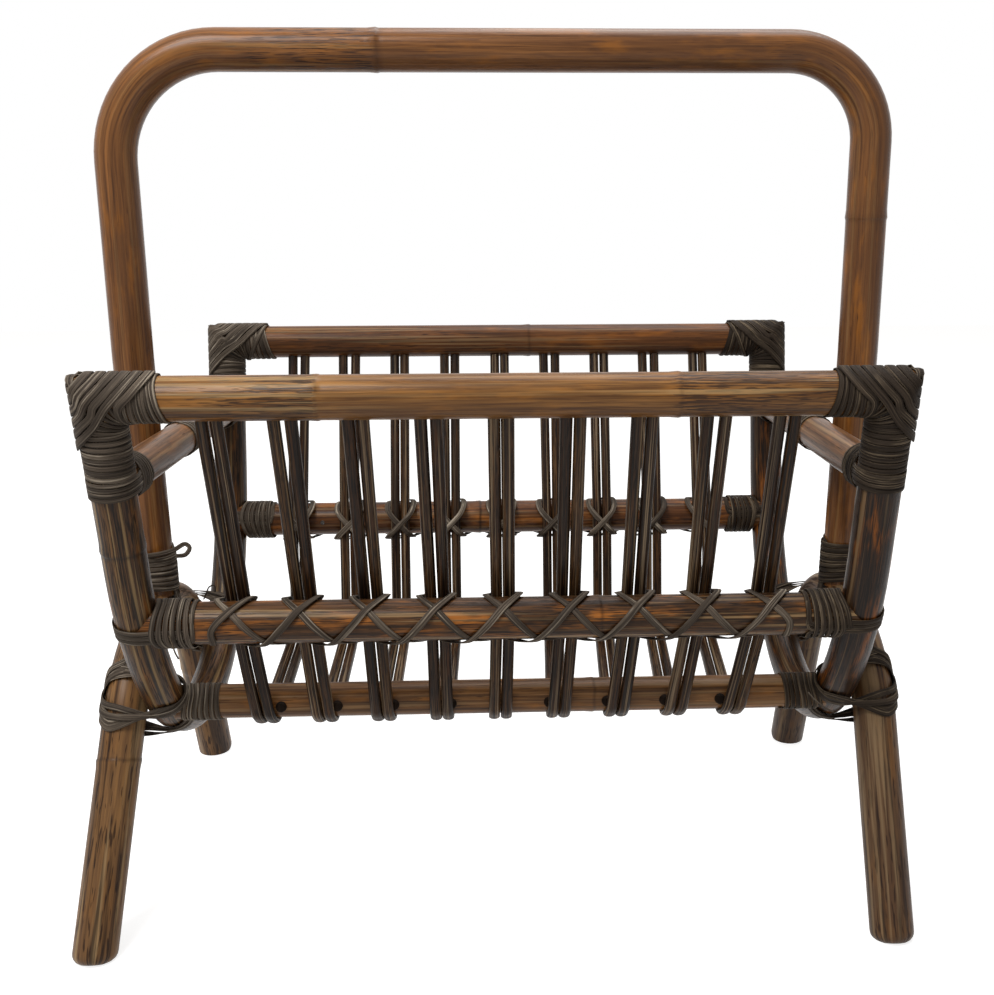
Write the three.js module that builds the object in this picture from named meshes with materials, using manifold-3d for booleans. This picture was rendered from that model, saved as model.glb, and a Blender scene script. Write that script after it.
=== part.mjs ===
// Magazine basket of bent rattan poles, with a carrying hoop, two arched leg frames and a slung trough of thin canes.
// Millimetres, +Z up, +X to the right, front towards -Y. The origin is on the floor under the middle of the basket.
import * as THREE from "three";
import { mergeVertices } from "three/addons/utils/BufferGeometryUtils.js";
import Module from "manifold-3d";

// Poles of the basket
const frameDiameter = 24; // top rails and end frames
const endFrameOffset = 208.4; // from the middle to the axis of each end frame
const railSpread = 145.4; // from the middle to each top rail
const railHeight = 334.5;
const bowRadius = 106; // round bottom of an end frame
const bowHeight = 104; // lowest point of an end frame's axis
const bowSweep = THREE.MathUtils.degToRad(48); // of the round bottom, to each side of its lowest point
const flankRadius = 200; // wider bend between the round bottom and a post
const crossRailDiameter = 22;
const crossRailDrop = 47.5; // from a top rail down to a cross rail
const midRailDiameter = 24.5;
const midRailHeight = 201;
const bottomRailDiameter = 21;
const bottomRailSpread = 74; // from the middle to each bottom rail
const jointGap = 0.3; // between poles that meet

// Leg frames
const legDiameter = 26.2;
const legBendRadius = 90;
const legArchHeight = 171.5; // top of a leg frame's axis
const legLean = THREE.MathUtils.degToRad(25.5); // of a leg from upright, seen from the end
const legSplay = 5.1; // how much further out a foot stands than its crossing
const frontFootShift = -5; // of both front feet, to the right
const legClearance = 0.5; // between a leg frame and its end frame where they cross
const footRounding = 7;

// Carrying hoop
const handleDiameter = 25.5;
const handleHeight = 524.6; // top of the hoop's axis
const handleClearance = 2.85; // between an upright and the cross rail it passes
const handleBendRadii = { left: 66, right: 54 };
const handleLeanHeight = 340; // below this an upright leans in to its leg frame

// Canes of the trough
const pairCount = 9;
const rowMargin = 54.4; // from an end frame's axis to the middle of the pair beside it
const rowTaper = 10; // how much further in that pair passes under the front bottom rail
const pairShiftFront = -2.5; // of the whole row there
const caneDiameter = 7;
const caneGap = 0.5; // between the two canes of a pair
const caneSeatDepth = 6; // of a cane's end in its top rail
const caneBendRadius = 60; // where a cane bends in below the mid rail
const pairOpening = 3.2; // most that a pair opens at its top end
const frontOpeningShares = [0.1, 0.6, 0.1, 0.3, 0, 0, 0.2, 0.8, 0.3];
const rearOpeningShares = [0.6, 0.7, 0, 0.2, 0, 0.5, 0.1, 0.6, 0];

// Binding cane, a strip with a ridged back
const stripWidth = 4.8;
const stripThickness = 0.9;
const stripGap = 0.6; // between turns side by side
const layerGap = 0.7; // between turns that cross
const seatGap = 0.3; // between a turn and the pole under it
const strandGap = 0.7; // between a strand and the bent pole behind it
const fanShare = 0.62; // of the room for a fanned turn that its strip takes up

const cornerPostTurns = 2;
const cornerFanTurns = 4; // an even count, so that a turn lies on the mitre
const cornerRailTurns = 3;
const cornerDiagonalTurns = 4;
const cornerPivot = 4.4; // how far inside a corner its fanned turns meet
const diagonalStart = -8; // of the slanted turns, measured from the corner's middle towards its point
const diagonalEnd = 12;
const midWrapTurns = 3;
const crossWrapTurns = 3;
const handleWrapTurns = 3;
const wrapStrands = 2; // loops of a wrap that go round the post
const bottomWrapTurns = 3;
const tieTurns = 3;
const tieStart = 6; // how far in front of an upright's axis its tie begins
const lashWidth = 4; // of the strip of a lashing or a lacing
const lacingSide = 10; // from a pair's middle to where its lacing passes beside it
const lacingLean = 8; // from a pair's middle to where its lacing comes over the mid rail
const lacingRise = 7; // from a mid rail's axis to where its lacing turns on to the canes
const lashingTurns = 2;
const lashingStand = 17.5; // from a crossing to the first turn of its lashing
const lashingDrift = 0.7; // of a lashing's strip along its pole in an eighth of a turn

// Fineness
const poleSides = 12;
const caneSides = 6;
const wrapSides = 8;
const bendSag = 0.3; // most that a bend's flats cut in
const coarsestStep = THREE.MathUtils.degToRad(22.5);

const crossRailHeight = railHeight - crossRailDrop;
const frameRadius = frameDiameter / 2;
const crossRailRadius = crossRailDiameter / 2;
const midRailRadius = midRailDiameter / 2;
const bottomRailRadius = bottomRailDiameter / 2;
const legRadius = legDiameter / 2;
const handleRadius = handleDiameter / 2;
const caneRadius = caneDiameter / 2;
const handleOffset =
  endFrameOffset + crossRailRadius + handleClearance + handleRadius;
const pairSteps = (pairCount - 1) / 2; // from the middle pair to an outer one
const pairPitch = (endFrameOffset - rowMargin) / pairSteps;
const pairPitchFront = pairPitch - rowTaper / pairSteps;
const stripPitch = stripWidth + stripGap;
const layerStep = stripThickness + layerGap;
const flatShare = Math.cos(Math.PI / wrapSides); // from a wrap's corners to its flats

const wasm = await Module();
wasm.setup();

const finish = (color, roughness) =>
  new THREE.MeshStandardMaterial({ color, roughness, metalness: 0 });
const hoopFinish = finish("#8a5a30", 0.3);
const railFinish = finish("#9a6c3c", 0.35);
const frameFinish = finish("#5b3f2a", 0.45);
const legFinish = finish("#6a4e34", 0.45);
const caneFinish = finish("#3a2c22", 0.55);
const bindingFinish = finish("#463a30", 0.7);

const alongX = new THREE.Vector3(1, 0, 0);
const alongY = new THREE.Vector3(0, 1, 0);
const alongZ = new THREE.Vector3(0, 0, 1);
const point = (x, y, z) => new THREE.Vector3(x, y, z);
const mix = (a, b, share) => a + (b - a) * share;

const middleOf = (points) =>
  points
    .reduce((sum, p) => sum.add(p), point(0, 0, 0))
    .divideScalar(points.length);

// A closed skin over rings with as many points each, with a fan over both ends. A strip's rings have outward
// directions. Its twisted faces fold that way, clear of the pole, or away from its own middle where it hangs free.
function skin(rings, outs, isFree) {
  const sides = rings[0].length;
  const corners = rings.flat();
  const positions = corners.flatMap((p) => [p.x, p.y, p.z]);
  const index = [];
  for (let ring = 0; ring + 1 < rings.length; ring++) {
    const inside = middleOf([...rings[ring], ...rings[ring + 1]]);
    for (let side = 0; side < sides; side++) {
      const a = ring * sides + side;
      const b = ring * sides + ((side + 1) % sides);
      const c = b + sides;
      const d = a + sides;
      const [atA, atB, atC, atD] = [a, b, c, d].map((i) => corners[i]);
      const outward = isFree
        ? middleOf([atA, atB, atC, atD]).sub(inside)
        : outs && middleOf([outs[ring], outs[ring + 1]]);
      const fold = middleOf([atB, atD]).sub(middleOf([atA, atC]));
      if (outs && fold.dot(outward) > 0) index.push(a, b, d, b, c, d);
      else index.push(a, b, c, a, c, d);
    }
  }
  const last = (rings.length - 1) * sides;
  for (let side = 1; side + 1 < sides; side++) {
    index.push(0, side + 1, side);
    index.push(last, last + side, last + side + 1);
  }
  const geometry = new THREE.BufferGeometry();
  geometry.setAttribute(
    "position",
    new THREE.Float32BufferAttribute(positions, 3),
  );
  geometry.setIndex(index);
  return geometry;
}

// The direction of a path at each of its points.
function tangents(path) {
  return path.map((_, i) => {
    const before = path[Math.max(i - 1, 0)];
    const after = path[Math.min(i + 1, path.length - 1)];
    return after.clone().sub(before).normalize();
  });
}

// A round pole along a path that bends about the axis direction. The radius is a number, or one for each point.
function pole(path, radius, sides, axis) {
  const directions = tangents(path);
  const rings = path.map((centre, i) => {
    const u = square(axis, directions[i]);
    const v = directions[i].clone().cross(u);
    const size = Array.isArray(radius) ? radius[i] : radius;
    return Array.from({ length: sides }, (_, side) => {
      const angle = (2 * Math.PI * (side + 0.5)) / sides;
      return centre
        .clone()
        .addScaledVector(u, size * Math.cos(angle))
        .addScaledVector(v, size * Math.sin(angle));
    });
  });
  return rings;
}

// The part of a direction that is square to another, at length one.
const square = (direction, other) =>
  direction
    .clone()
    .addScaledVector(other, -direction.dot(other))
    .normalize();

// Moves the points of a ring along a direction on to a plane.
function slide(ring, direction, planePoint, planeNormal) {
  for (const p of ring) {
    const away = planePoint.clone().sub(p).dot(planeNormal);
    p.addScaledVector(direction, away / direction.dot(planeNormal));
  }
}

// Points on an arc in the plane of two unit directions, as many as keep its flats within the sag.
function arc(centre, u, v, radius, from, to) {
  const step = Math.min(2 * Math.acos(1 - bendSag / radius), coarsestStep);
  const count = Math.ceil(Math.abs(to - from) / step);
  return Array.from({ length: count + 1 }, (_, i) => {
    const angle = mix(from, to, i / count);
    return centre
      .clone()
      .addScaledVector(u, radius * Math.cos(angle))
      .addScaledVector(v, radius * Math.sin(angle));
  });
}

// A bend that rounds the corner b of the line from a to c.
function bend(a, b, c, radius) {
  const back = a.clone().sub(b).normalize();
  const on = c.clone().sub(b).normalize();
  const half = back.angleTo(on) / 2;
  const inward = back.clone().add(on).normalize();
  const centre = b.clone().addScaledVector(inward, radius / Math.sin(half));
  const start = b.clone().addScaledVector(back, radius / Math.tan(half));
  const u = start.clone().sub(centre).normalize();
  return arc(centre, u, back.negate(), radius, 0, Math.PI - 2 * half);
}

function solid(geometry) {
  geometry.deleteAttribute("normal");
  geometry.deleteAttribute("uv");
  const merged = mergeVertices(geometry);
  return new wasm.Manifold(
    new wasm.Mesh({
      numProp: 3,
      vertProperties: merged.attributes.position.array,
      triVerts: new Uint32Array(merged.index.array),
    }),
  );
}

// A closed mesh with closed tools cut out of it.
function cut(geometry, tools) {
  let made = solid(geometry);
  for (const tool of tools) made = made.subtract(solid(tool));
  const mesh = made.getMesh();
  const result = new THREE.BufferGeometry();
  result.setAttribute(
    "position",
    new THREE.BufferAttribute(mesh.vertProperties, 3),
  );
  result.setIndex(new THREE.BufferAttribute(mesh.triVerts, 1));
  return result;
}

const basket = new THREE.Group();

function add(name, geometry, material) {
  const shown = geometry.toNonIndexed();
  shown.computeVertexNormals();
  const mesh = new THREE.Mesh(shown, material);
  mesh.name = name;
  basket.add(mesh);
}

const ends = [
  { name: "left", sign: -1 },
  { name: "right", sign: 1 },
];
const faces = [
  { name: "front", sign: -1 },
  { name: "rear", sign: 1 },
];

// End frames: two straight posts, a wide bend under each, and a round bottom. Heights and spreads are those of the
// axis, and an angle is that of its outward side from level.
const bowLength = bowRadius * bowSweep;
const bowEnd = bowSweep - Math.PI / 2;
const bowCentreHeight = bowHeight + bowRadius;
const flankCentreSpread = (bowRadius - flankRadius) * Math.cos(bowEnd);
const flankCentreHeight =
  bowCentreHeight + (bowRadius - flankRadius) * Math.sin(bowEnd);
const postReach = Math.hypot(
  railSpread - flankCentreSpread,
  railHeight - flankCentreHeight,
);
const postLean =
  Math.atan2(railHeight - flankCentreHeight, railSpread - flankCentreSpread) -
  Math.acos(flankRadius / postReach);
const postFootSpread = flankCentreSpread + flankRadius * Math.cos(postLean);
const postFootHeight = flankCentreHeight + flankRadius * Math.sin(postLean);

function bowAngleAt(height) {
  const onBow = (height - bowCentreHeight) / bowRadius;
  if (onBow < Math.sin(bowEnd)) return Math.asin(onBow);
  const onFlank = (height - flankCentreHeight) / flankRadius;
  return Math.min(Math.asin(Math.min(onFlank, 1)), postLean);
}

function bowSpreadAt(height) {
  const angle = bowAngleAt(height);
  if (angle < bowEnd) return bowRadius * Math.cos(angle);
  if (angle < postLean) return flankCentreSpread + flankRadius * Math.cos(angle);
  const share = (height - postFootHeight) / (railHeight - postFootHeight);
  return mix(postFootSpread, railSpread, share);
}

// The upward direction of an end frame's axis at a height, on the front or the rear side.
function bowUpAt(height, face) {
  const angle = bowAngleAt(height);
  return point(0, -face.sign * Math.sin(angle), Math.cos(angle));
}

// One side of an end frame's bends, from the post down to the lowest point.
function bowPath(end, face) {
  const x = end.sign * endFrameOffset;
  const outward = point(0, face.sign, 0);
  const flank = arc(
    point(x, face.sign * flankCentreSpread, flankCentreHeight),
    outward,
    alongZ,
    flankRadius,
    postLean,
    bowEnd,
  );
  const bottom = arc(
    point(x, 0, bowCentreHeight),
    outward,
    alongZ,
    bowRadius,
    bowEnd,
    -Math.PI / 2,
  );
  return [...flank, ...bottom.slice(1)];
}

const midRailSpread = bowSpreadAt(midRailHeight);
const crossRailSpread = bowSpreadAt(crossRailHeight);
const bottomRailHeight =
  bowCentreHeight - Math.sqrt(bowRadius ** 2 - bottomRailSpread ** 2);

// The frame of a corner: x runs into the top rail, z runs on over the post's top.
function cornerFrame(end, face) {
  const up = bowUpAt(railHeight, face);
  const into = alongX.clone().multiplyScalar(-end.sign);
  const origin = point(
    end.sign * endFrameOffset,
    face.sign * railSpread,
    railHeight,
  );
  const across = up.clone().cross(into);
  return new THREE.Matrix4()
    .makeBasis(into, across, up)
    .setPosition(origin.x, origin.y, origin.z);
}

// Ends a pole's ring on the mitre of a corner, half a joint's gap on its own side.
function mitre(ring, end, face, railSide) {
  const frame = cornerFrame(end, face);
  const direction = (railSide ? point(1, 0, 0) : alongZ.clone()).transformDirection(frame);
  const normal = point(1, 0, 1).transformDirection(frame);
  const onPlane = new THREE.Vector3()
    .setFromMatrixPosition(frame)
    .addScaledVector(normal, ((railSide ? 1 : -1) * jointGap) / 2);
  slide(ring, direction, onPlane, normal);
}

function endFrameRings(end, radius) {
  const x = end.sign * endFrameOffset;
  const path = [
    point(x, -railSpread, railHeight),
    ...bowPath(end, faces[0]),
    ...bowPath(end, faces[1]).reverse().slice(1),
    point(x, railSpread, railHeight),
  ];
  const rings = pole(path, radius, poleSides, alongX);
  mitre(rings[0], end, faces[0], false);
  mitre(rings[rings.length - 1], end, faces[1], false);
  return rings;
}

function straightPole(from, to, radius, axis) {
  return pole([from, to], radius, poleSides, axis);
}

for (const end of ends)
  add(`${end.name}_end_frame`, skin(endFrameRings(end, frameRadius)), frameFinish);

const endFrameTools = () =>
  ends.map((end) => skin(endFrameRings(end, frameRadius + jointGap)));

// Canes: each runs from its front top rail inside the front mid rail, round the front bottom rail, across the floor
// of the trough and up the rear side in the same way.
const caneClear = jointGap + caneRadius;
const caneTurn = bottomRailRadius + caneClear;
const caneFloorHeight = bottomRailHeight - caneTurn;

function caneSide(face, grow) {
  const rail = point(0, face.sign * railSpread, railHeight);
  const clear = midRailRadius + caneClear;
  const spread = railSpread - midRailSpread;
  const rise = railHeight - midRailHeight;
  const lean =
    Math.atan2(spread, rise) + Math.asin(clear / Math.hypot(spread, rise));
  const knee = point(
    0,
    face.sign * (midRailSpread - clear / Math.cos(lean)),
    midRailHeight,
  );
  const turnCentre = point(0, face.sign * bottomRailSpread, bottomRailHeight);
  const inward = face.sign * (knee.y - turnCentre.y);
  const drop = turnCentre.z - knee.z;
  const turnStart =
    Math.atan2(drop, inward) +
    Math.acos(caneTurn / Math.hypot(inward, drop));
  const outward = point(0, face.sign, 0);
  const turn = arc(
    turnCentre,
    outward,
    alongZ.clone().negate(),
    caneTurn,
    turnStart,
    Math.PI / 2,
  );
  const down = knee.clone().sub(rail).normalize();
  const top = rail
    .clone()
    .addScaledVector(down, frameRadius - caneSeatDepth - grow);
  return [top, ...bend(top, knee, turn[0], caneBendRadius), ...turn];
}

// The distance of a pair's middle from the basket's middle. The row is drawn in most under the front bottom rail, and
// less up to the front mid rail and back to the rear bottom rail.
function pairOffset(pair, spread, height) {
  const low = (midRailHeight - height) / (midRailHeight - caneFloorHeight);
  const near = (bottomRailSpread - spread) / bottomRailSpread / 2;
  const clamp = THREE.MathUtils.clamp;
  const share = clamp(low, 0, 1) * clamp(near, 0, 1);
  const pitch = mix(pairPitch, pairPitchFront, share);
  return pairShiftFront * share + (pair - pairSteps) * pitch;
}

function canePath(pair, side, grow) {
  const place = (shares) => (p) => {
    const open =
      pairOpening *
      shares[pair % shares.length] *
      Math.max(0, (p.z - midRailHeight) / (railHeight - midRailHeight));
    const apart = caneRadius + (caneGap + open) / 2;
    return point(pairOffset(pair, p.y, p.z) + side * apart, p.y, p.z);
  };
  const front = caneSide(faces[0], grow).map(place(frontOpeningShares));
  const rear = caneSide(faces[1], grow).map(place(rearOpeningShares));
  return [...front, ...rear.reverse()];
}

const pairs = Array.from({ length: pairCount }, (_, pair) => pair);
const caneTools = pairs.flatMap((pair) =>
  ends.map((side) =>
    skin(
      pole(
        canePath(pair, side.sign, jointGap),
        caneRadius + jointGap,
        caneSides,
        alongX,
      ),
    ),
  ),
);

for (const pair of pairs) {
  for (const side of ends) {
    const path = canePath(pair, side.sign, 0);
    const rings = pole(path, caneRadius, caneSides, alongX);
    add(`cane_${pair + 1}_${side.name}`, skin(rings), caneFinish);
  }
}

for (const face of faces) {
  const y = face.sign * railSpread;
  const rings = straightPole(
    point(-endFrameOffset, y, railHeight),
    point(endFrameOffset, y, railHeight),
    frameRadius,
    bowUpAt(railHeight, face),
  );
  mitre(rings[0], ends[0], face, true);
  mitre(rings[1], ends[1], face, true);
  add(`${face.name}_top_rail`, cut(skin(rings), caneTools), railFinish);
}

// A rail from one end frame to the other, coped on to both.
function lengthwiseRail(name, y, z, radius) {
  const rings = straightPole(
    point(-endFrameOffset, y, z),
    point(endFrameOffset, y, z),
    radius,
    alongZ,
  );
  add(name, cut(skin(rings), endFrameTools()), railFinish);
}

for (const face of faces) {
  lengthwiseRail(
    `${face.name}_mid_rail`,
    face.sign * midRailSpread,
    midRailHeight,
    midRailRadius,
  );
  lengthwiseRail(
    `${face.name}_bottom_rail`,
    face.sign * bottomRailSpread,
    bottomRailHeight,
    bottomRailRadius,
  );
}

for (const end of ends) {
  const rings = straightPole(
    point(end.sign * endFrameOffset, -crossRailSpread, crossRailHeight),
    point(end.sign * endFrameOffset, crossRailSpread, crossRailHeight),
    crossRailRadius,
    alongZ,
  );
  add(`${end.name}_cross_rail`, cut(skin(rings), endFrameTools()), frameFinish);
}

// Leg frames: an arch whose legs lean out. A place on a leg is given by its distance along the axis from the arch's top.
const archSweep = Math.PI / 2 - legLean;
const archLength = legBendRadius * archSweep;
const archCentreHeight = legArchHeight - legBendRadius;
const legTopHeight = archCentreHeight + legBendRadius * Math.cos(archSweep);
const legLength = archLength + legTopHeight / Math.cos(legLean);

function legSpot(distance) {
  const sweep = Math.min(distance, archLength) / legBendRadius;
  const straight = Math.max(0, distance - archLength);
  return {
    spread: legBendRadius * Math.sin(sweep) + straight * Math.sin(legLean),
    height:
      archCentreHeight +
      legBendRadius * Math.cos(sweep) -
      straight * Math.cos(legLean),
  };
}

// The distance along a leg at which it crosses its end frame.
function crossingDistance() {
  let low = 0;
  let high = legLength;
  while (high - low > Number.EPSILON * legLength * 4) {
    const middle = (low + high) / 2;
    const { spread, height } = legSpot(middle);
    const inside = height > bowHeight && spread < bowSpreadAt(height);
    if (inside) low = middle;
    else high = middle;
  }
  return low;
}

const crossingAlongLeg = crossingDistance();
const crossing = legSpot(crossingAlongLeg);
const crossingOffset =
  endFrameOffset + frameRadius + legClearance + legRadius;

function legPoint(end, face, distance) {
  const { spread, height } = legSpot(distance);
  const below = (crossing.height - height) / crossing.height;
  const shift = face.sign < 0 ? Math.max(0, below) * frontFootShift : 0;
  return point(
    end.sign * (crossingOffset + below * legSplay) + shift,
    face.sign * spread,
    height,
  );
}

const archOffset = Math.abs(legPoint(ends[1], faces[1], 0).x);
const legPlane = (end) =>
  point(crossing.height, 0, end.sign * legSplay).normalize();

function legFrameRings(end, radius) {
  const footReach = (legRadius - footRounding) * Math.tan(legLean) + jointGap;
  const legEnd = legLength + footReach;
  const toeShares = [0, 0.3, 1];
  const side = (face) =>
    toeShares.map((share) =>
      legPoint(end, face, legEnd - share * footRounding),
    );
  const toeRadius = toeShares.map((share) => {
    const rounding = footRounding * Math.sqrt(1 - (1 - share) ** 2);
    return radius - footRounding + rounding;
  });
  const count = Math.ceil(
    archSweep / Math.acos(1 - bendSag / legBendRadius) / 2,
  );
  const arch = Array.from({ length: 2 * count + 1 }, (_, i) => {
    const distance = (Math.abs(i - count) * archLength) / count;
    return legPoint(end, i < count ? faces[0] : faces[1], distance);
  });
  const path = [...side(faces[0]), ...arch, ...side(faces[1]).reverse()];
  const sizes = [
    ...toeRadius,
    ...arch.map(() => radius),
    ...toeRadius.toReversed(),
  ];
  return pole(path, sizes, poleSides, legPlane(end));
}

function floorTool() {
  const reach = 4 * endFrameOffset;
  return new THREE.BoxGeometry(reach, reach, reach).translate(
    0,
    0,
    -reach / 2,
  );
}

for (const end of ends) {
  const legs = skin(legFrameRings(end, legRadius));
  add(`${end.name}_leg_frame`, cut(legs, [floorTool()]), legFinish);
}

// Carrying hoop: its uprights stand on the arches of the leg frames.
const handleFoot = (end) =>
  point(end.sign * archOffset, 0, legArchHeight);

function handlePath() {
  const feet = ends.map(handleFoot);
  const leans = ends.map((end) =>
    point(end.sign * handleOffset, 0, handleLeanHeight),
  );
  const corners = ends.map((end) =>
    point(end.sign * handleOffset, 0, handleHeight),
  );
  return [
    feet[0],
    leans[0],
    ...bend(leans[0], corners[0], corners[1], handleBendRadii.left),
    ...bend(corners[0], corners[1], leans[1], handleBendRadii.right),
    leans[1],
    feet[1],
  ];
}

const handle = skin(pole(handlePath(), handleRadius, poleSides, alongY));
const archTools = ends.map((end) =>
  skin(legFrameRings(end, legRadius + jointGap)),
);
add("handle_hoop", cut(handle, archTools), hoopFinish);

// Bindings. A strip follows points that each have an outward direction, and its flat side lies on them.
function strip(spots) {
  const directions = tangents(spots.map((spot) => spot.at));
  return spots.map((spot, i) => {
    const side = directions[i].clone().cross(spot.out).normalize();
    const half = (spot.width ?? stripWidth) / 2;
    return [
      spot.at.clone().addScaledVector(spot.out, stripThickness),
      spot.at.clone().addScaledVector(side, half),
      spot.at.clone().addScaledVector(side, -half),
    ];
  });
}

let leastGap = Infinity;

// The least distance from a strip's points to its own edges more than half a turn away.
function measureGap(rings) {
  const apart = wrapSides / 2 + 1;
  const closest = new THREE.Vector3();
  const edge = new THREE.Line3();
  let least = Infinity;
  for (let i = 0; i < rings.length; i++) {
    for (let j = i + apart; j + 1 < rings.length; j++) {
      if (rings[i][0].distanceTo(rings[j][0]) > 4 * stripPitch) continue;
      for (const p of rings[i]) {
        for (let corner = 0; corner < rings[j].length; corner++) {
          edge.set(rings[j][corner], rings[j + 1][corner]);
          edge.closestPointToPoint(p, true, closest);
          least = Math.min(least, p.distanceTo(closest));
        }
      }
    }
  }
  return least;
}

function addBinding(name, spots, isFree) {
  const rings = strip(spots);
  const outs = spots.map((spot) => spot.out);
  leastGap = Math.min(leastGap, measureGap(rings));
  add(name, skin(rings, outs, isFree), bindingFinish);
}

// The corner radius of a wrap whose flats clear a pole, with a number of layers under it.
const wrapRadius = (radius, layers) =>
  (radius + seatGap + layers * layerStep) / flatShare;

// One spot on a pole: round it by eighths of a turn from u to v, and along it.
function spotOn(origin, along, u, v, radius, eighth, distance) {
  const angle = (2 * Math.PI * eighth) / wrapSides;
  const out = u
    .clone()
    .multiplyScalar(Math.cos(angle))
    .addScaledVector(v, Math.sin(angle));
  const at = origin
    .clone()
    .addScaledVector(along, distance)
    .addScaledVector(out, radius);
  return { at, out };
}

// A corner's binding: up the post, fanned round the inside of the corner, along the rail, then slanted turns over the
// corner's point, in the corner's own frame.
function cornerSpots() {
  const inner = wrapRadius(frameRadius, 0);
  const outer = wrapRadius(frameRadius, 1) + jointGap;
  const fanStep = Math.PI / 2 / cornerFanTurns;
  const spots = [];
  const onRail = (radius, eighth, x) =>
    spotOn(point(0, 0, 0), alongX, alongZ, alongY, radius, eighth, x);
  const onPost = (radius, eighth, z) =>
    spotOn(
      point(0, 0, 0),
      alongZ,
      alongX.clone().negate(),
      alongY,
      radius,
      eighth,
      z,
    );
  const base = inner + cornerPivot;
  const turns = cornerPostTurns + cornerFanTurns + cornerRailTurns;
  for (let step = 0; step <= turns * wrapSides; step++) {
    const turn = step / wrapSides;
    const fan = turn - cornerPostTurns;
    const reach =
      base + inner * Math.cos((2 * Math.PI * step) / wrapSides);
    const angle = fan * fanStep;
    let spot;
    if (fan < 0) spot = onPost(inner, step, fan * stripPitch - base);
    else if (fan > cornerFanTurns)
      spot = onRail(inner, step, base + (fan - cornerFanTurns) * stripPitch);
    else {
      spot =
        2 * fan < cornerFanTurns
          ? onPost(inner, step, reach * Math.tan(angle) - base)
          : onRail(inner, step, base - reach / Math.tan(angle));
      spot.width = Math.min(stripWidth, reach * fanStep * fanShare);
    }
    spots.push(spot);
  }
  const railEnd = base + cornerRailTurns * stripPitch;
  const slant = outer - diagonalStart * Math.SQRT2;
  for (let eighth = 1; eighth < wrapSides; eighth++) {
    const x = mix(railEnd + stripPitch / 2, slant, eighth / wrapSides);
    spots.push(onRail(outer, eighth, x));
  }
  const lean = Math.cos((2 * Math.PI) / wrapSides);
  const mitreOut = (side) => {
    const half = Math.PI / wrapSides;
    const tilt = Math.sin(half) / 2;
    return point(-tilt, side * Math.cos(half), tilt).normalize();
  };
  const onMitre = (depth, side) => {
    const share = depth / Math.SQRT2 / outer;
    const width = 1 - (share * (1 - lean)) / lean;
    const across = depth / Math.SQRT2;
    return {
      at: point(-across, side * outer * width, across),
      out: mitreOut(side),
    };
  };
  const slanted = (eighth, depth, rail) => {
    const height = outer * Math.cos((2 * Math.PI * eighth) / wrapSides);
    return rail
      ? onRail(outer, eighth, height - depth * Math.SQRT2)
      : onPost(outer, eighth, depth * Math.SQRT2 - height);
  };
  const last = wrapSides - 1;
  const flank = wrapSides / 4;
  const down = (depth) =>
    depth > 0
      ? [onMitre(depth, 1)]
      : [slanted(flank, depth, true), slanted(flank, depth, false)];
  const up = (depth) =>
    depth > 0
      ? [onMitre(depth, -1)]
      : [slanted(-flank, depth, false), slanted(-flank, depth, true)];
  const loop = [
    (depth) => slanted(0, depth, true),
    (depth) => slanted(1, depth, true),
    down,
    (depth) => slanted(1, depth, false),
    (depth) => slanted(0, depth, false),
    (depth) => slanted(last, depth, false),
    up,
    (depth) => slanted(last, depth, true),
  ];
  const steps = cornerDiagonalTurns * loop.length;
  for (let step = 0; step <= steps; step++) {
    const depth = mix(diagonalStart, diagonalEnd, step / steps);
    spots.push(loop[step % loop.length](depth));
  }
  return spots.flat();
}

for (const face of faces) {
  for (const end of ends) {
    const frame = cornerFrame(end, face);
    const spots = cornerSpots().map((spot) => ({
      ...spot,
      at: spot.at.applyMatrix4(frame),
      out: spot.out.transformDirection(frame),
    }));
    addBinding(`${face.name}_${end.name}_corner_wrap`, spots);
  }
}

// A wrap of a rail that butts on a post: first its strands round the far side of the post, then turns over them.
function buttSpots(joint) {
  const { origin, into, post, railRadius, postRadius, turns, strands } = joint;
  const up = square(post, into);
  const side = into.clone().cross(up);
  const back = square(into, post).negate();
  const layers = strands > 0 ? 1 : 0;
  const lean = Math.abs(Math.tan(post.angleTo(up)));
  const start =
    postRadius +
    jointGap +
    stripWidth / 2 +
    lean * wrapRadius(railRadius, layers + 1);
  const far = start + turns * stripPitch;
  const ring = wrapRadius(railRadius, 0);
  const spots = [];
  const onRail = (radius, eighth, distance) =>
    spotOn(origin, into, up, side, radius, eighth, distance);
  const onLane = (lane, sign, distance) => {
    const radius = railRadius + seatGap;
    const angle = sign * Math.acos(lane / radius);
    return onRail(radius, (angle * wrapSides) / 2 / Math.PI, distance);
  };
  for (let strand = 0; strand < strands; strand++) {
    const lane = ((strands - 1) / 2 - strand) * stripPitch;
    const first = strand === 0;
    const last = strand + 1 === strands;
    spots.push(onLane(lane, 1, first ? far - stripPitch : far));
    for (let eighth = 0; eighth <= wrapSides / 2; eighth++) {
      const reach = wrapRadius(postRadius, 0) + strandGap;
      spots.push(spotOn(origin, post, side, back, reach, eighth, lane));
    }
    spots.push(onLane(lane, -1, last ? far - stripPitch / 2 : far));
    if (last) continue;
    for (const eighth of [-1, 0, 1, 2])
      spots.push(onRail(ring, eighth, far + stripPitch / 4));
  }
  const radius = wrapRadius(railRadius, layers);
  for (let step = layers; step <= turns * wrapSides; step++) {
    const distance = far - (step / wrapSides) * stripPitch;
    spots.push(onRail(radius, -2 - step, distance));
  }
  return spots;
}

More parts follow.
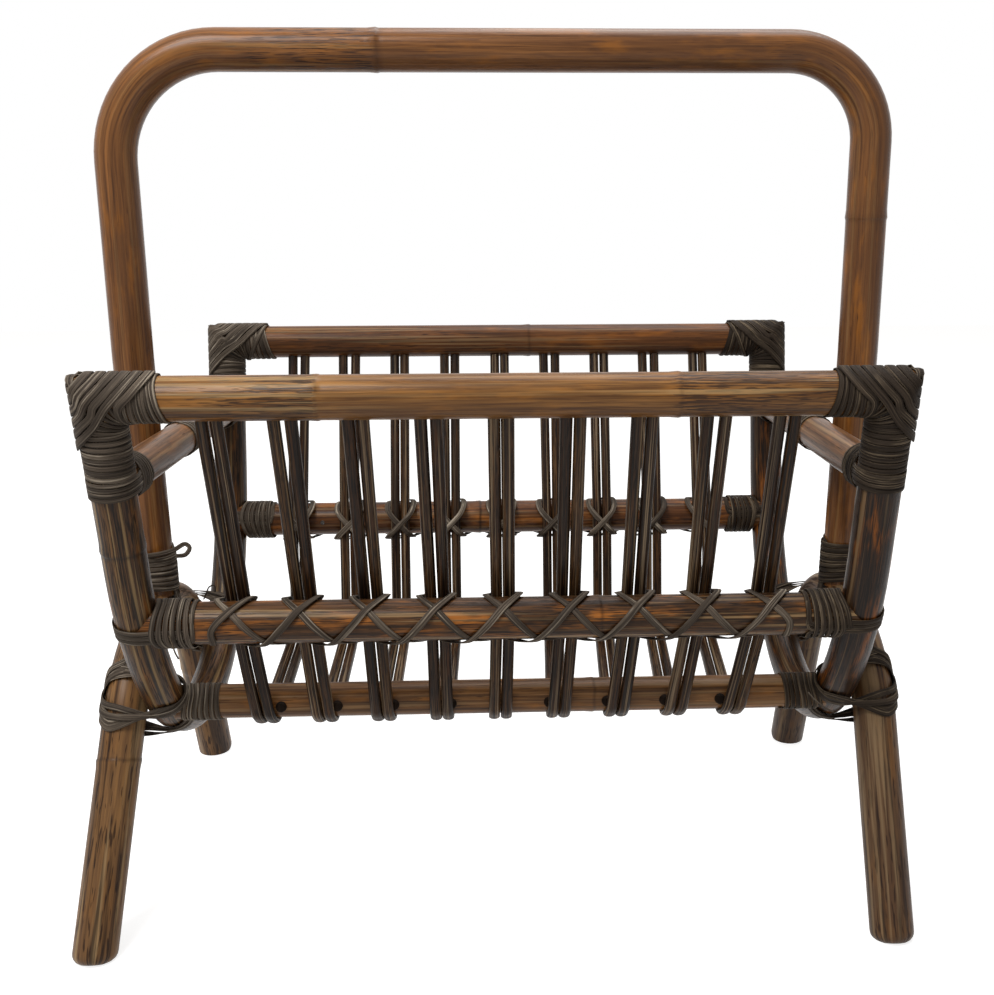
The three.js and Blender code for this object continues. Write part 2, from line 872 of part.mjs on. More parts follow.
for (const face of faces) {
  for (const end of ends) {
    const into = point(-end.sign, 0, 0);
    addBinding(
      `${face.name}_${end.name}_mid_wrap`,
      buttSpots({
        origin: point(
          end.sign * endFrameOffset,
          face.sign * midRailSpread,
          midRailHeight,
        ),
        into,
        post: bowUpAt(midRailHeight, face),
        railRadius: midRailRadius,
        postRadius: frameRadius,
        turns: midWrapTurns,
        strands: wrapStrands,
      }),
    );
    addBinding(
      `${face.name}_${end.name}_bottom_wrap`,
      buttSpots({
        origin: point(
          end.sign * endFrameOffset,
          face.sign * bottomRailSpread,
          bottomRailHeight,
        ),
        into,
        post: bowUpAt(bottomRailHeight, face),
        railRadius: bottomRailRadius,
        postRadius: frameRadius,
        turns: bottomWrapTurns,
        strands: 0,
      }),
    );
    addBinding(
      `${face.name}_${end.name}_cross_wrap`,
      buttSpots({
        origin: point(
          end.sign * endFrameOffset,
          face.sign * crossRailSpread,
          crossRailHeight,
        ),
        into: point(0, -face.sign, 0),
        post: bowUpAt(crossRailHeight, face),
        railRadius: crossRailRadius,
        postRadius: frameRadius,
        turns: crossWrapTurns,
        strands: wrapStrands,
      }),
    );
  }
}

// The upward direction of the foot of one of the hoop's uprights.
const uprightLean = (end) =>
  point(end.sign * handleOffset, 0, handleLeanHeight)
    .sub(handleFoot(end))
    .normalize();

for (const end of ends) {
  addBinding(
    `${end.name}_handle_wrap`,
    buttSpots({
      origin: handleFoot(end),
      into: uprightLean(end),
      post: alongY.clone(),
      railRadius: handleRadius,
      postRadius: legRadius,
      turns: handleWrapTurns,
      strands: wrapStrands,
    }),
  );
}

// A tie round each cross rail, beside the upright of the hoop that passes it.
for (const end of ends) {
  const origin = point(end.sign * endFrameOffset, 0, crossRailHeight);
  const radius = wrapRadius(crossRailRadius, 0);
  const spots = [];
  for (let step = 0; step <= tieTurns * wrapSides; step++) {
    const distance = (step / wrapSides) * stripPitch - tieStart;
    spots.push(
      spotOn(origin, alongY, alongZ, alongX, radius, step, distance),
    );
  }
  addBinding(`${end.name}_handle_tie`, spots);
}

// A lashing of a leg to the end frame it crosses, in a square of turns over the leg and behind the end frame.
function lashingSpots(end, face) {
  const outward = point(end.sign, 0, 0);
  const crossingAlongBow =
    bowRadius * (bowAngleAt(crossing.height) + Math.PI / 2);
  const onBow = (distance) => {
    const along = crossingAlongBow + distance;
    const onFlank = along > bowLength;
    const angle = onFlank
      ? bowEnd + (along - bowLength) / flankRadius
      : along / bowRadius - Math.PI / 2;
    const radius = onFlank ? flankRadius : bowRadius;
    const spread = (onFlank ? flankCentreSpread : 0) + radius * Math.cos(angle);
    const centreHeight = onFlank ? flankCentreHeight : bowCentreHeight;
    const height = centreHeight + radius * Math.sin(angle);
    return {
      at: point(end.sign * endFrameOffset, face.sign * spread, height),
      direction: point(0, -face.sign * Math.sin(angle), Math.cos(angle)),
    };
  };
  const onLeg = (distance) => {
    const place = crossingAlongLeg - distance;
    const at = legPoint(end, face, place);
    const below = legPoint(end, face, place + jointGap);
    return { at, direction: at.clone().sub(below).normalize() };
  };
  const half = (spot, out, towards, radius) => {
    const u = square(out, spot.direction);
    const v = square(towards, spot.direction);
    return [-1.5, -0.5, 0.5, 1.5].map((eighth) =>
      spotOn(
        spot.at,
        spot.direction,
        u,
        v,
        wrapRadius(radius, 0) + strandGap,
        eighth,
        eighth * lashingDrift,
      ),
    );
  };
  const alongBow = onBow(0).direction;
  const alongLeg = onLeg(0).direction;
  const spots = [];
  for (let turn = 0; turn < lashingTurns; turn++) {
    const stand = lashingStand + turn * stripPitch;
    for (const way of [1, -1]) {
      const overBow = alongBow.clone().multiplyScalar(way);
      const downLeg = alongLeg.clone().multiplyScalar(-way);
      const inward = outward.clone().negate();
      spots.push(...half(onLeg(way * stand), outward, overBow, legRadius));
      spots.push(...half(onBow(way * stand), inward, downLeg, frameRadius));
    }
  }
  return spots.flatMap((spot, i) => {
    const next = spots[i + 1];
    const crossesOver = i % 4 === 3 && next;
    if (!crossesOver) return [spot];
    const at = spot.at.clone().add(next.at).divideScalar(2);
    const across = next.at.clone().sub(spot.at).normalize();
    return [spot, { at, out: square(spot.out.clone().add(next.out), across) }];
  }).map((spot) => ({ ...spot, width: lashWidth }));
}

for (const face of faces) {
  for (const end of ends)
    addBinding(
      `${face.name}_${end.name}_leg_lashing`,
      lashingSpots(end, face),
      true,
    );
}

// How far from the middle the canes' axes are, at a height on their way down.
function caneSpreadAt(height) {
  const path = caneSide(faces[1], 0);
  const next = path.findIndex((p) => p.z <= height);
  const above = path[next - 1];
  const below = path[next];
  const share = (above.z - height) / (above.z - below.z);
  return mix(above.y, below.y, share);
}

// The lacing of the canes to a mid rail: one strip that goes along the rail and comes back over itself, and crosses
// itself before and behind each pair.
function lacingSpots(face) {
  const outward = point(0, face.sign, 0);
  const onRail = (x, eighth, layer) =>
    spotOn(
      point(x, face.sign * midRailSpread, midRailHeight),
      alongX,
      alongZ,
      outward,
      wrapRadius(midRailRadius, layer),
      eighth,
      0,
    );
  const onCanes = (x, rise, behind, turn, layer) => {
    const height = midRailHeight + rise + Math.sign(rise) * turn.rise;
    const spread = caneSpreadAt(height) - behind;
    return {
      at: point(x, face.sign * spread, height),
      out: point(
        0,
        -face.sign * turn.inward,
        Math.sign(rise) * (turn.rise > 0),
      ).normalize(),
    };
  };
  const beside = (x, way, layer) =>
    onCanes(
      x,
      way * lacingRise,
      -caneRadius,
      { rise: caneRadius + layer * layerStep, inward: 0.4 },
      layer,
    );
  const inside = (x, way, layer) =>
    onCanes(
      x,
      way * lacingRise,
      caneRadius + strandGap + layer * layerStep,
      { rise: 0, inward: 1 },
      layer,
    );
  const outerSide = (x, way, layer) => [
    onRail(x - way * lacingLean, 0, layer),
    onRail(x, 1, layer),
    onRail(x + (way * pairPitch) / 4, 2, layer),
  ];
  const innerSide = (x, way, layer) => [
    beside(x + way * lacingSide, -1, layer),
    inside(x + way * lacingSide, -1, layer),
    inside(x - way * lacingSide, 1, layer),
    beside(x - way * lacingSide, 1, layer),
  ];
  const under = (x, way, layer) => [
    onRail(x + (way * pairPitch) / 2, 3, layer),
    onRail(x + way * (pairPitch - lacingSide), 4, layer),
  ];
  const spots = [];
  const places = pairs.map((pair) =>
    pairOffset(pair, face.sign * midRailSpread, midRailHeight),
  );
  const first = places[0];
  const last = places[pairCount - 1];
  for (const x of places) {
    spots.push(...innerSide(x, 1, 0), ...outerSide(x, 1, 0));
    if (x !== last) spots.push(...under(x, 1, 0));
  }
  for (const eighth of [3, 4, 5, 6, 7])
    spots.push(onRail(last + lacingSide, eighth, eighth > 4 ? 1 : 0));
  for (const x of places.toReversed()) {
    if (x !== last) spots.push(...innerSide(x, -1, 1));
    spots.push(...outerSide(x, -1, 1));
    if (x !== first) spots.push(...under(x, -1, 1));
  }
  spots.push(onRail(first - lacingSide, 3, 1));
  return spots.map((spot) => ({ ...spot, width: lashWidth }));
}

for (const face of faces)
  addBinding(`${face.name}_cane_lacing`, lacingSpots(face));

console.log(`least gap of a binding to itself: ${leastGap.toFixed(2)} mm`);

export default basket;
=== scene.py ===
"""A magazine basket of bent rattan poles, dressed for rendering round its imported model."""

from __future__ import annotations

import logging
import math
from dataclasses import dataclass
from enum import Enum
from functools import cached_property
from typing import Callable, Sequence

import bmesh
import bpy
import numpy as np
from mathutils import Matrix, Vector


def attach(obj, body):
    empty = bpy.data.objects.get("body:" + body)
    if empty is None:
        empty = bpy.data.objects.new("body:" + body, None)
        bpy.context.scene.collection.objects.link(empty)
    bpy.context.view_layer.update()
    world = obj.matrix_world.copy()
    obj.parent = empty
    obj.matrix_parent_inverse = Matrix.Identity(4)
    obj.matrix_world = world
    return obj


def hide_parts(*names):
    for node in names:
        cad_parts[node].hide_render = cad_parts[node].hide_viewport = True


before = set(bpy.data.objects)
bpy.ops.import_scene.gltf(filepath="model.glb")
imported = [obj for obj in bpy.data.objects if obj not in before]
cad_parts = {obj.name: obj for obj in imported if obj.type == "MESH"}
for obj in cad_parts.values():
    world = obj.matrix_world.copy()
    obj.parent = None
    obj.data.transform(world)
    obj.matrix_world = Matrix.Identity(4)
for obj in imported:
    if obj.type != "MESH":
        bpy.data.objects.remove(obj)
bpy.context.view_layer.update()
LOG = logging.getLogger("basket")
BODY = "root"
GRAIN = "grain"
ACROSS = Vector((1, 0, 0))
BACK = Vector((0, 1, 0))
UP = Vector((0, 0, 1))
EIGHTH = math.pi / 4

Material = bpy.types.Material
Rings = tuple[float, ...]
Stops = tuple[tuple[float, float], ...]
Value = float | bpy.types.NodeSocket


class End(Enum):
    """The two ends of the basket, with the sign of X there."""

    LEFT = -1
    RIGHT = 1

    @property
    def word(self) -> str:
        """The name's part for this end."""
        return self.name.lower()


class Face(Enum):
    """The front and the rear of the basket, with the sign of Y there."""

    FRONT = -1
    REAR = 1

    @property
    def word(self) -> str:
        """The name's part for this face."""
        return self.name.lower()


# Where the node rings are, as lengths along each pole from where it is begun.
HOOP_RINGS: Rings = (0.4794, 0.8639)
CROSS_RINGS: Rings = (0.171,)
TOP_RINGS: dict[Face, Rings] = {Face.FRONT: (0.1316, 0.3209), Face.REAR: (0.25,)}
LOWER_RINGS: dict[Face, Rings] = {Face.FRONT: (0.262,), Face.REAR: (0.19,)}
FRAME_RINGS: dict[End, Rings] = {End.LEFT: (0.105, 0.36), End.RIGHT: (0.128, 0.4)}
LEG_RINGS: dict[End, Rings] = {End.LEFT: (0.118, 0.37), End.RIGHT: (0.14, 0.352)}


def mix(a: float, b: float, share: float) -> float:
    """The number at a share of the way from a to b."""
    return a + (b - a) * share


def clamp(value: float) -> float:
    """The value, kept between 0 and 1."""
    return min(max(value, 0.0), 1.0)


def square(direction: Vector, other: Vector) -> Vector:
    """The part of a direction that is square to another one, at length 1."""
    return (direction - other * direction.dot(other)).normalized()


@dataclass(frozen=True)
class Plan:
    """The sizes that the basket's parts share, in metres and radians."""

    frame_radius: float = 0.012
    end_offset: float = 0.2084
    rail_spread: float = 0.1454
    rail_height: float = 0.3345
    bow_radius: float = 0.106
    bow_height: float = 0.104
    bow_sweep: float = math.radians(48)
    flank_radius: float = 0.2
    cross_radius: float = 0.011
    cross_height: float = 0.287
    mid_radius: float = 0.01225
    mid_height: float = 0.201
    bottom_radius: float = 0.0105
    bottom_spread: float = 0.074
    leg_radius: float = 0.0131
    leg_bend: float = 0.09
    leg_top: float = 0.1715
    leg_lean: float = math.radians(25.5)
    leg_splay: float = 0.0051
    foot_shift: float = -0.005
    leg_gap: float = 0.0005
    handle_radius: float = 0.01275
    handle_height: float = 0.5246
    handle_offset: float = 0.235
    handle_bends: tuple[float, float] = (0.066, 0.054)
    handle_lean_height: float = 0.34
    pair_count: int = 9
    cane_radius: float = 0.0035
    cane_gap: float = 0.0005
    pair_pitch: float = 0.0385
    pair_pitch_front: float = 0.036
    pair_shift_front: float = -0.0025
    cane_clearance: float = 0.0003
    front_openings: tuple[float, ...] = (0.1, 0.6, 0.1, 0.3, 0.0, 0.0, 0.2, 0.8, 0.3)
    rear_openings: tuple[float, ...] = (0.6, 0.7, 0.0, 0.2, 0.0, 0.5, 0.1, 0.6, 0.0)
    widest_opening: float = 0.0032

    @cached_property
    def bow_centre(self) -> float:
        """Height of the middle of an end frame's round bottom."""
        return self.bow_height + self.bow_radius

    @cached_property
    def bow_end(self) -> float:
        """Angle from level at which the round bottom turns into the wider bend."""
        return self.bow_sweep - math.pi / 2

    @cached_property
    def flank_centre(self) -> tuple[float, float]:
        """The middle of an end frame's wider bend.

        Returns:
            Its spread and height.
        """
        less = self.bow_radius - self.flank_radius
        return less * math.cos(self.bow_end), self.bow_centre + less * math.sin(self.bow_end)

    @cached_property
    def post_lean(self) -> float:
        """How far an end frame's straight posts lean.

        Returns:
            The angle from level of a post's outward side.
        """
        spread = self.rail_spread - self.flank_centre[0]
        rise = self.rail_height - self.flank_centre[1]
        reach = math.hypot(spread, rise)
        return math.atan2(rise, spread) - math.acos(self.flank_radius / reach)

    @cached_property
    def post_length(self) -> float:
        """Length of a post's straight part, up to the corner's middle."""
        spread, height = self.bow_spot(self.post_lean)
        return math.hypot(self.rail_spread - spread, self.rail_height - height)

    def bow_spot(self, angle: float) -> tuple[float, float]:
        """A place of an end frame's axis, on one of its bends.

        Args:
            angle: the outward side's angle from level there.

        Returns:
            Spread and height.
        """
        spread, height, radius = 0.0, self.bow_centre, self.bow_radius
        if angle >= self.bow_end:
            (spread, height), radius = self.flank_centre, self.flank_radius
        return spread + radius * math.cos(angle), height + radius * math.sin(angle)

    def bow_angle(self, height: float) -> float:
        """Which way an end frame's outward side faces.

        Args:
            height: a height on the end frame.

        Returns:
            The angle from level.
        """
        low = (height - self.bow_centre) / self.bow_radius
        if low < math.sin(self.bow_end):
            return math.asin(low)
        high = (height - self.flank_centre[1]) / self.flank_radius
        return min(math.asin(min(high, 1.0)), self.post_lean)

    def bow_spread(self, height: float) -> float:
        """How far from the middle an end frame's axis is.

        Args:
            height: a height on the end frame.

        Returns:
            The spread there.
        """
        angle = self.bow_angle(height)
        spread, foot = self.bow_spot(angle)
        if angle < self.post_lean:
            return spread
        return mix(spread, self.rail_spread, (height - foot) / (self.rail_height - foot))

    def bow_up(self, height: float, face: Face) -> Vector:
        """Upward direction of an end frame's axis at a height."""
        angle = self.bow_angle(height)
        return Vector((0, -face.value * math.sin(angle), math.cos(angle)))

    def corner(self, end: End, face: Face) -> Matrix:
        """The frame of a corner: x into the top rail, z on over the post's top.

        Args:
            end: the corner's end.
            face: the corner's face.

        Returns:
            The frame.
        """
        up = self.bow_up(self.rail_height, face)
        into = ACROSS * -end.value
        turn = Matrix((into, up.cross(into), up)).transposed().to_4x4()
        place = (end.value * self.end_offset, face.value * self.rail_spread, self.rail_height)
        return Matrix.Translation(place) @ turn

    @cached_property
    def mid_spread(self) -> float:
        """How far from the middle a mid rail is."""
        return self.bow_spread(self.mid_height)

    @cached_property
    def cross_spread(self) -> float:
        """Half of the length between the axes that a cross rail joins."""
        return self.bow_spread(self.cross_height)

    @cached_property
    def bottom_height(self) -> float:
        """Height of a bottom rail's axis."""
        return self.bow_centre - math.sqrt(self.bow_radius**2 - self.bottom_spread**2)

    @cached_property
    def arch_sweep(self) -> float:
        """Angle of a leg frame's bend, to each side of its top."""
        return math.pi / 2 - self.leg_lean

    @cached_property
    def leg_foot(self) -> float:
        """How long half a leg frame is.

        Returns:
            Length of its axis from the arch's top to the floor.
        """
        centre = self.leg_top - self.leg_bend
        top = centre + self.leg_bend * math.cos(self.arch_sweep)
        return self.leg_bend * self.arch_sweep + top / math.cos(self.leg_lean)

    def leg_spot(self, distance: float) -> tuple[float, float]:
        """A place of a leg's axis, seen from the end of the basket.

        Args:
            distance: how far along the axis from the arch's top.

        Returns:
            Spread and height.
        """
        bend = self.leg_bend * self.arch_sweep
        sweep = min(distance, bend) / self.leg_bend
        rest = max(0.0, distance - bend)
        spread = self.leg_bend * math.sin(sweep) + rest * math.sin(self.leg_lean)
        height = self.leg_top - self.leg_bend * (1 - math.cos(sweep))
        return spread, height - rest * math.cos(self.leg_lean)

    @cached_property
    def crossing_distance(self) -> float:
        """Where a leg crosses its end frame, found by halving.

        Returns:
            Length of the leg's axis from the arch's top to there.
        """
        low, high = 0.0, self.leg_foot
        for _ in range(50):
            middle = (low + high) / 2
            spread, height = self.leg_spot(middle)
            if height > self.bow_height and spread < self.bow_spread(height):
                low = middle
            else:
                high = middle
        return low

    @cached_property
    def crossing(self) -> tuple[float, float]:
        """Spread and height of the place where a leg crosses its end frame."""
        return self.leg_spot(self.crossing_distance)

    @cached_property
    def crossing_offset(self) -> float:
        """How far from the middle a leg frame stands at its crossings."""
        return self.end_offset + self.frame_radius + self.leg_gap + self.leg_radius

    def leg_aside(self, end: End, spread: float, height: float) -> float:
        """How far along X a leg frame's axis is.

        Args:
            end: which leg frame.
            spread: the place's Y.
            height: the place's Z.

        Returns:
            X in metres.
        """
        below = (self.crossing[1] - height) / self.crossing[1]
        shift = max(0.0, below) * self.foot_shift if spread < 0 else 0.0
        return end.value * (self.crossing_offset + below * self.leg_splay) + shift

    def leg_point(self, end: End, face: Face, distance: float) -> Vector:
        """A point of a leg's axis.

        Args:
            end: which leg frame.
            face: which of its legs.
            distance: how far along the axis from the arch's top.

        Returns:
            The point.
        """
        spread, height = self.leg_spot(distance)
        y = face.value * spread
        return Vector((self.leg_aside(end, y, height), y, height))

    @cached_property
    def arch_offset(self) -> float:
        """How far from the middle an arch's top is."""
        return self.leg_point(End.RIGHT, Face.REAR, 0.0).x

    def hoop_foot(self, end: End) -> Vector:
        """Where the hoop's axis meets a leg frame's arch."""
        return Vector((end.value * self.arch_offset, 0, self.leg_top))

    def hoop_knee(self, end: End) -> Vector:
        """Where the hoop's side turns upright."""
        return Vector((end.value * self.handle_offset, 0, self.handle_lean_height))

    @cached_property
    def cane_clear(self) -> float:
        """From a mid rail's axis to the axes of the canes that pass inside it."""
        return self.mid_radius + self.cane_clearance + self.cane_radius

    @cached_property
    def cane_lean(self) -> float:
        """How far a cane's upper part leans in on its way down.

        Returns:
            The angle from upright.
        """
        spread = self.rail_spread - self.mid_spread
        rise = self.rail_height - self.mid_height
        return math.atan2(spread, rise) + math.asin(self.cane_clear / math.hypot(spread, rise))

    @cached_property
    def cane_knee(self) -> float:
        """How far from the middle a cane's axis is at the mid rail's height."""
        return self.mid_spread - self.cane_clear / math.cos(self.cane_lean)

    @cached_property
    def cane_turn(self) -> float:
        """Radius of a cane's axis round its bottom rail."""
        return self.bottom_radius + self.cane_clearance + self.cane_radius

    @cached_property
    def cane_floor(self) -> float:
        """Height of the canes' axes on the trough's floor."""
        return self.bottom_height - self.cane_turn

    def pair_offset(self, pair: int, spread: float, height: float) -> float:
        """X of a pair's middle at a place of its path.

        Args:
            pair: the pair's number, from 0 at the left.
            spread: the place's Y.
            height: the place's Z.

        Returns:
            X in metres.
        """
        low = (self.mid_height - height) / (self.mid_height - self.cane_floor)
        near = (self.bottom_spread - spread) / self.bottom_spread / 2
        share = clamp(low) * clamp(near)
        pitch = mix(self.pair_pitch, self.pair_pitch_front, share)
        middle = (self.pair_count - 1) / 2
        return self.pair_shift_front * share + (pair - middle) * pitch


PLAN = Plan()


def linear(colour: str) -> tuple[float, float, float, float]:
    """A hex colour as the linear values that a shader takes.

    Args:
        colour: six hex digits, such as "7a5532".

    Returns:
        Red, green, blue and an alpha of 1.
    """
    parts = [int(colour[i : i + 2], 16) / 255 for i in (0, 2, 4)]
    return (
        *[p / 12.92 if p < 0.04045 else ((p + 0.055) / 1.055) ** 2.4 for p in parts],
        1.0,
    )


@dataclass(frozen=True)
class Pattern:
    """A noise, with its cells per metre across the grain and along it."""

    across: float
    along: float
    detail: float
    shift: float = 0.0
    rough: float = 0.5


class Graph:
    """A node graph of a material or of the world, built from short calls."""

    def __init__(self, owner: Material | bpy.types.World) -> None:
        """Starts with no nodes.

        Args:
            owner: what the nodes belong to.
        """
        owner.use_nodes = True
        self.owner = owner
        self.tree = owner.node_tree
        self.tree.nodes.clear()

    def put(self, socket: bpy.types.NodeSocket, value: Value | Sequence[float]) -> None:
        """Links an input to a socket, or gives it a value.

        Args:
            socket: the input.
            value: a socket, number, colour or vector.
        """
        if isinstance(value, bpy.types.NodeSocket):
            self.tree.links.new(value, socket)
        else:
            socket.default_value = value

    def node(
        self, kind: str, settings: dict | None = None, **inputs: Value | Sequence[float]
    ) -> bpy.types.Node:
        """Adds a node.

        Args:
            kind: the node's type, without "ShaderNode".
            settings: the node's own properties.
            **inputs: values or sockets for its inputs, by name with _ for a space, or by number
                as i0, i1 and so on.

        Returns:
            The new node.
        """
        made = self.tree.nodes.new("ShaderNode" + kind)
        for key, value in (settings or {}).items():
            setattr(made, key, value)
        for key, value in inputs.items():
            by_number = key[0] == "i" and key[1:].isdigit()
            self.put(made.inputs[int(key[1:]) if by_number else key.replace("_", " ")], value)
        return made

    def math(self, operation: str, a: Value, b: Value = 0.0, soft: bool = False) -> Value:
        """The result of a sum of two values, kept between 0 and 1 if soft."""
        settings = {"operation": operation, "use_clamp": soft}
        return self.node("Math", settings, i0=a, i1=b).outputs[0]

    def product(self, a: Value, b: Value) -> Value:
        """Two values multiplied."""
        return self.math("MULTIPLY", a, b)

    def blend(self, factor: Value, a: Value | Sequence[float], b: Sequence[float]) -> Value:
        """Mixes two colours.

        Args:
            factor: how much of the second colour there is.
            a: the first colour.
            b: the second colour.

        Returns:
            The mixed colour.
        """
        made = self.node("Mix", {"data_type": "RGBA", "blend_type": "MIX"}, i0=factor)
        self.put(made.inputs[6], a)
        self.put(made.inputs[7], b)
        return made.outputs[2]

    def grain(self) -> Value:
        """The coordinates that a piece's mesh carries, with the length along it as z."""
        return self.node("Attribute", {"attribute_name": GRAIN}).outputs["Vector"]

    def noise(self, place: Value, pattern: Pattern, seed: float = 0.0) -> Value:
        """Noise with its own scale along the grain.

        Args:
            place: the coordinates.
            pattern: the noise's sizes.
            seed: moves the noise, so that two finishes don't match.

        Returns:
            The noise's value, about 0.5 on average.
        """
        scale = (pattern.across, pattern.across, pattern.along)
        shift = (seed + pattern.shift,) * 3
        turned = self.node("Mapping", Vector=place, Scale=scale, Location=shift).outputs[0]
        sizes = {"Scale": 1.0, "Detail": pattern.detail, "Roughness": pattern.rough}
        return self.node("TexNoise", Vector=turned, **sizes).outputs[0]

    def step(self, value: Value, low: float, high: float) -> Value:
        """A smooth step of a value.

        Args:
            value: the value.
            low: where the step is 0.
            high: where the step is 1.

        Returns:
            The step.
        """
        smooth = {"interpolation_type": "SMOOTHSTEP"}
        return self.node("MapRange", smooth, Value=value, i1=low, i2=high).outputs[0]

    def ramp(self, value: Value, stops: Stops) -> Value:
        """Reads a row of places and values at a number.

        Args:
            value: the number to read at, from 0 to 1.
            stops: places with the value there, in order.

        Returns:
            The value between the stops.
        """
        made = self.node("ValToRGB", Fac=value)
        elements = made.color_ramp.elements
        while len(elements) > 1:
            elements.remove(elements[-1])
        elements[0].position = stops[0][0]
        elements[0].color = (*[stops[0][1]] * 3, 1)
        for place, level in stops[1:]:
            elements.new(place).color = (*[level] * 3, 1)
        return made.outputs[0]


WOBBLE = Pattern(160, 5, 2)
FIBRE = Pattern(620, 16, 4, 3, 0.65)
HAIR = Pattern(1700, 34, 2, 7)
PATCH = Pattern(46, 11, 2, 11)
BLOTCH = Pattern(120, 26, 3, 19, 0.6)
DASH = Pattern(1500, 75, 1, 23)
STRIP_RIB = Pattern(1050, 9, 3, 0, 0.65)
STRIP_FIBRE = Pattern(1900, 26, 3, 5, 0.7)
STRIP_PATCH = Pattern(90, 40, 3, 9, 0.6)
STRIP_STRETCH = Pattern(20, 14, 2, 13)
TARNISH = Pattern(900, 900, 3)


@dataclass(frozen=True)
class PoleFinish:
    """Varnished rattan skin: long fibres, dark dashes in zones, node rings, warmer patches and a
    lengthwise tone that paints light and shade on some poles.
    """

    name: str
    base: str
    deep: str
    warm: str
    dash: str
    pale: str = "a98a62"
    stripes: float = 0.5
    stripe_scale: float = 300.0
    warm_share: float = 0.5
    dashes: Stops = ((0.0, 0.35), (1.0, 0.35))
    # Lightens or darkens the skin along the pole: on the hoop and the front top and mid rails this
    # paints light and shade, lighter to the left where the light falls.
    tone: Stops = ((0.0, 0.5), (1.0, 0.5))
    rings: Rings = ()
    length: float = 0.4
    roughness: float = 0.36
    coat: float = 0.35
    seed: float = 0.0
    wobble: float = 0.003
    ring_half: float = 0.0011
    dash_strength: float = 0.85
    ring_strength: float = 0.8
    hair_strength: float = 0.5
    relief: float = 0.35
    relief_depth: float = 0.0005
    sheen: float = 0.06
    coat_roughness: float = 0.26

    def ring_stops(self) -> Stops:
        """Where the pole's colour darkens at its node rings.

        Returns:
            Stops of a ramp that is 1 at each ring and 0 elsewhere.
        """
        stops = [(0.0, 0.0)]
        for ring in sorted(self.rings):
            place, half = ring / self.length, self.ring_half / self.length
            stops += [(place - half, 0.0), (place, 1.0), (place + half * 0.7, 0.0)]
        return (*stops, (1.0, 0.0))

    def striped(self, g: Graph, grain: Value, body: Value, zone: Value) -> Value:
        """Lays long pale and dark stripes over the skin.

        Args:
            g: the material's graph.
            grain: the coordinates along the pole.
            body: the skin's colour so far.
            zone: how worn the skin is there.

        Returns:
            The colour with its stripes.
        """
        amount = g.math("ADD", g.product(g.step(zone, 0.05, 0.45), 0.7), 0.3)
        amount = g.product(amount, self.stripes)
        light = g.noise(grain, Pattern(self.stripe_scale, 4, 3, 31, 0.6), self.seed)
        dark = g.noise(grain, Pattern(self.stripe_scale * 1.3, 6, 3, 37, 0.6), self.seed)
        pale = g.product(g.step(light, 0.53, 0.64), g.product(amount, 0.75))
        body = g.blend(pale, body, linear(self.pale))
        deep = g.product(g.step(dark, 0.5, 0.62), amount)
        return g.blend(deep, body, linear(self.dash))

    def make(self) -> Material:
        """Builds the material.

        Returns:
            The material.
        """
        g = Graph(bpy.data.materials.new(self.name))
        grain = g.grain()
        length = g.node("SeparateXYZ", Vector=grain).outputs[2]
        wander = g.product(g.noise(grain, WOBBLE, self.seed), self.wobble)
        along = g.math("ADD", length, wander)
        share = g.math(
            "DIVIDE", g.math("SUBTRACT", along, self.wobble / 2), self.length, soft=True
        )
        fibre, hair, patch, blotch, flecks = (
            g.noise(grain, pattern, self.seed) for pattern in (FIBRE, HAIR, PATCH, BLOTCH, DASH)
        )
        zone = g.ramp(share, self.dashes)
        tone = g.ramp(share, self.tone)

        body = g.blend(g.step(fibre, 0.28, 0.72), linear(self.deep), linear(self.base))
        # Random patches plus the lengthwise ramp, which paints light and shade on some poles.
        shade = g.math("ADD", g.step(patch, 0.3, 0.7), g.math("SUBTRACT", tone, 0.5))
        dark = g.blend(0.62, body, linear(self.deep))
        body = g.blend(g.math("MULTIPLY", shade, 1.0, soft=True), dark, body)
        warmth = g.product(g.step(blotch, 0.5, 0.72), self.warm_share)
        body = g.blend(warmth, body, linear(self.warm))

        near = g.math("SUBTRACT", 0.78, g.product(zone, 0.33))
        dash = g.math("MULTIPLY", g.math("SUBTRACT", flecks, near), 14.0, soft=True)
        dash = g.product(dash, g.step(zone, 0.0, 0.2))
        body = g.blend(g.product(dash, self.dash_strength), body, linear(self.dash))
        lines = g.product(g.step(hair, 0.54, 0.76), self.hair_strength)
        body = g.blend(lines, body, linear(self.dash))
        body = self.striped(g, grain, body, zone)

        height = g.math("ADD", g.product(fibre, 0.5), g.product(hair, 0.3))
        height = g.math("SUBTRACT", height, g.product(dash, 0.35))
        if self.rings:
            ring = g.ramp(share, self.ring_stops())
            body = g.blend(g.product(ring, self.ring_strength), body, linear(self.dash))
            height = g.math("SUBTRACT", height, ring)
        rough = g.math("ADD", g.product(blotch, 0.22), self.roughness - 0.11)
        rough = g.math("ADD", rough, g.product(dash, 0.15), soft=True)
        bump = g.node("Bump", Strength=self.relief, Distance=self.relief_depth, Height=height)
        shader = g.node(
            "BsdfPrincipled",
            Base_Color=body,
            Roughness=rough,
            Normal=bump.outputs[0],
            Specular_IOR_Level=self.sheen,
            Coat_Weight=self.coat * 0.5,
            Coat_Roughness=self.coat_roughness,
            Coat_Normal=bump.outputs[0],
        )
        g.node("OutputMaterial", Surface=shader.outputs[0])
        return g.owner


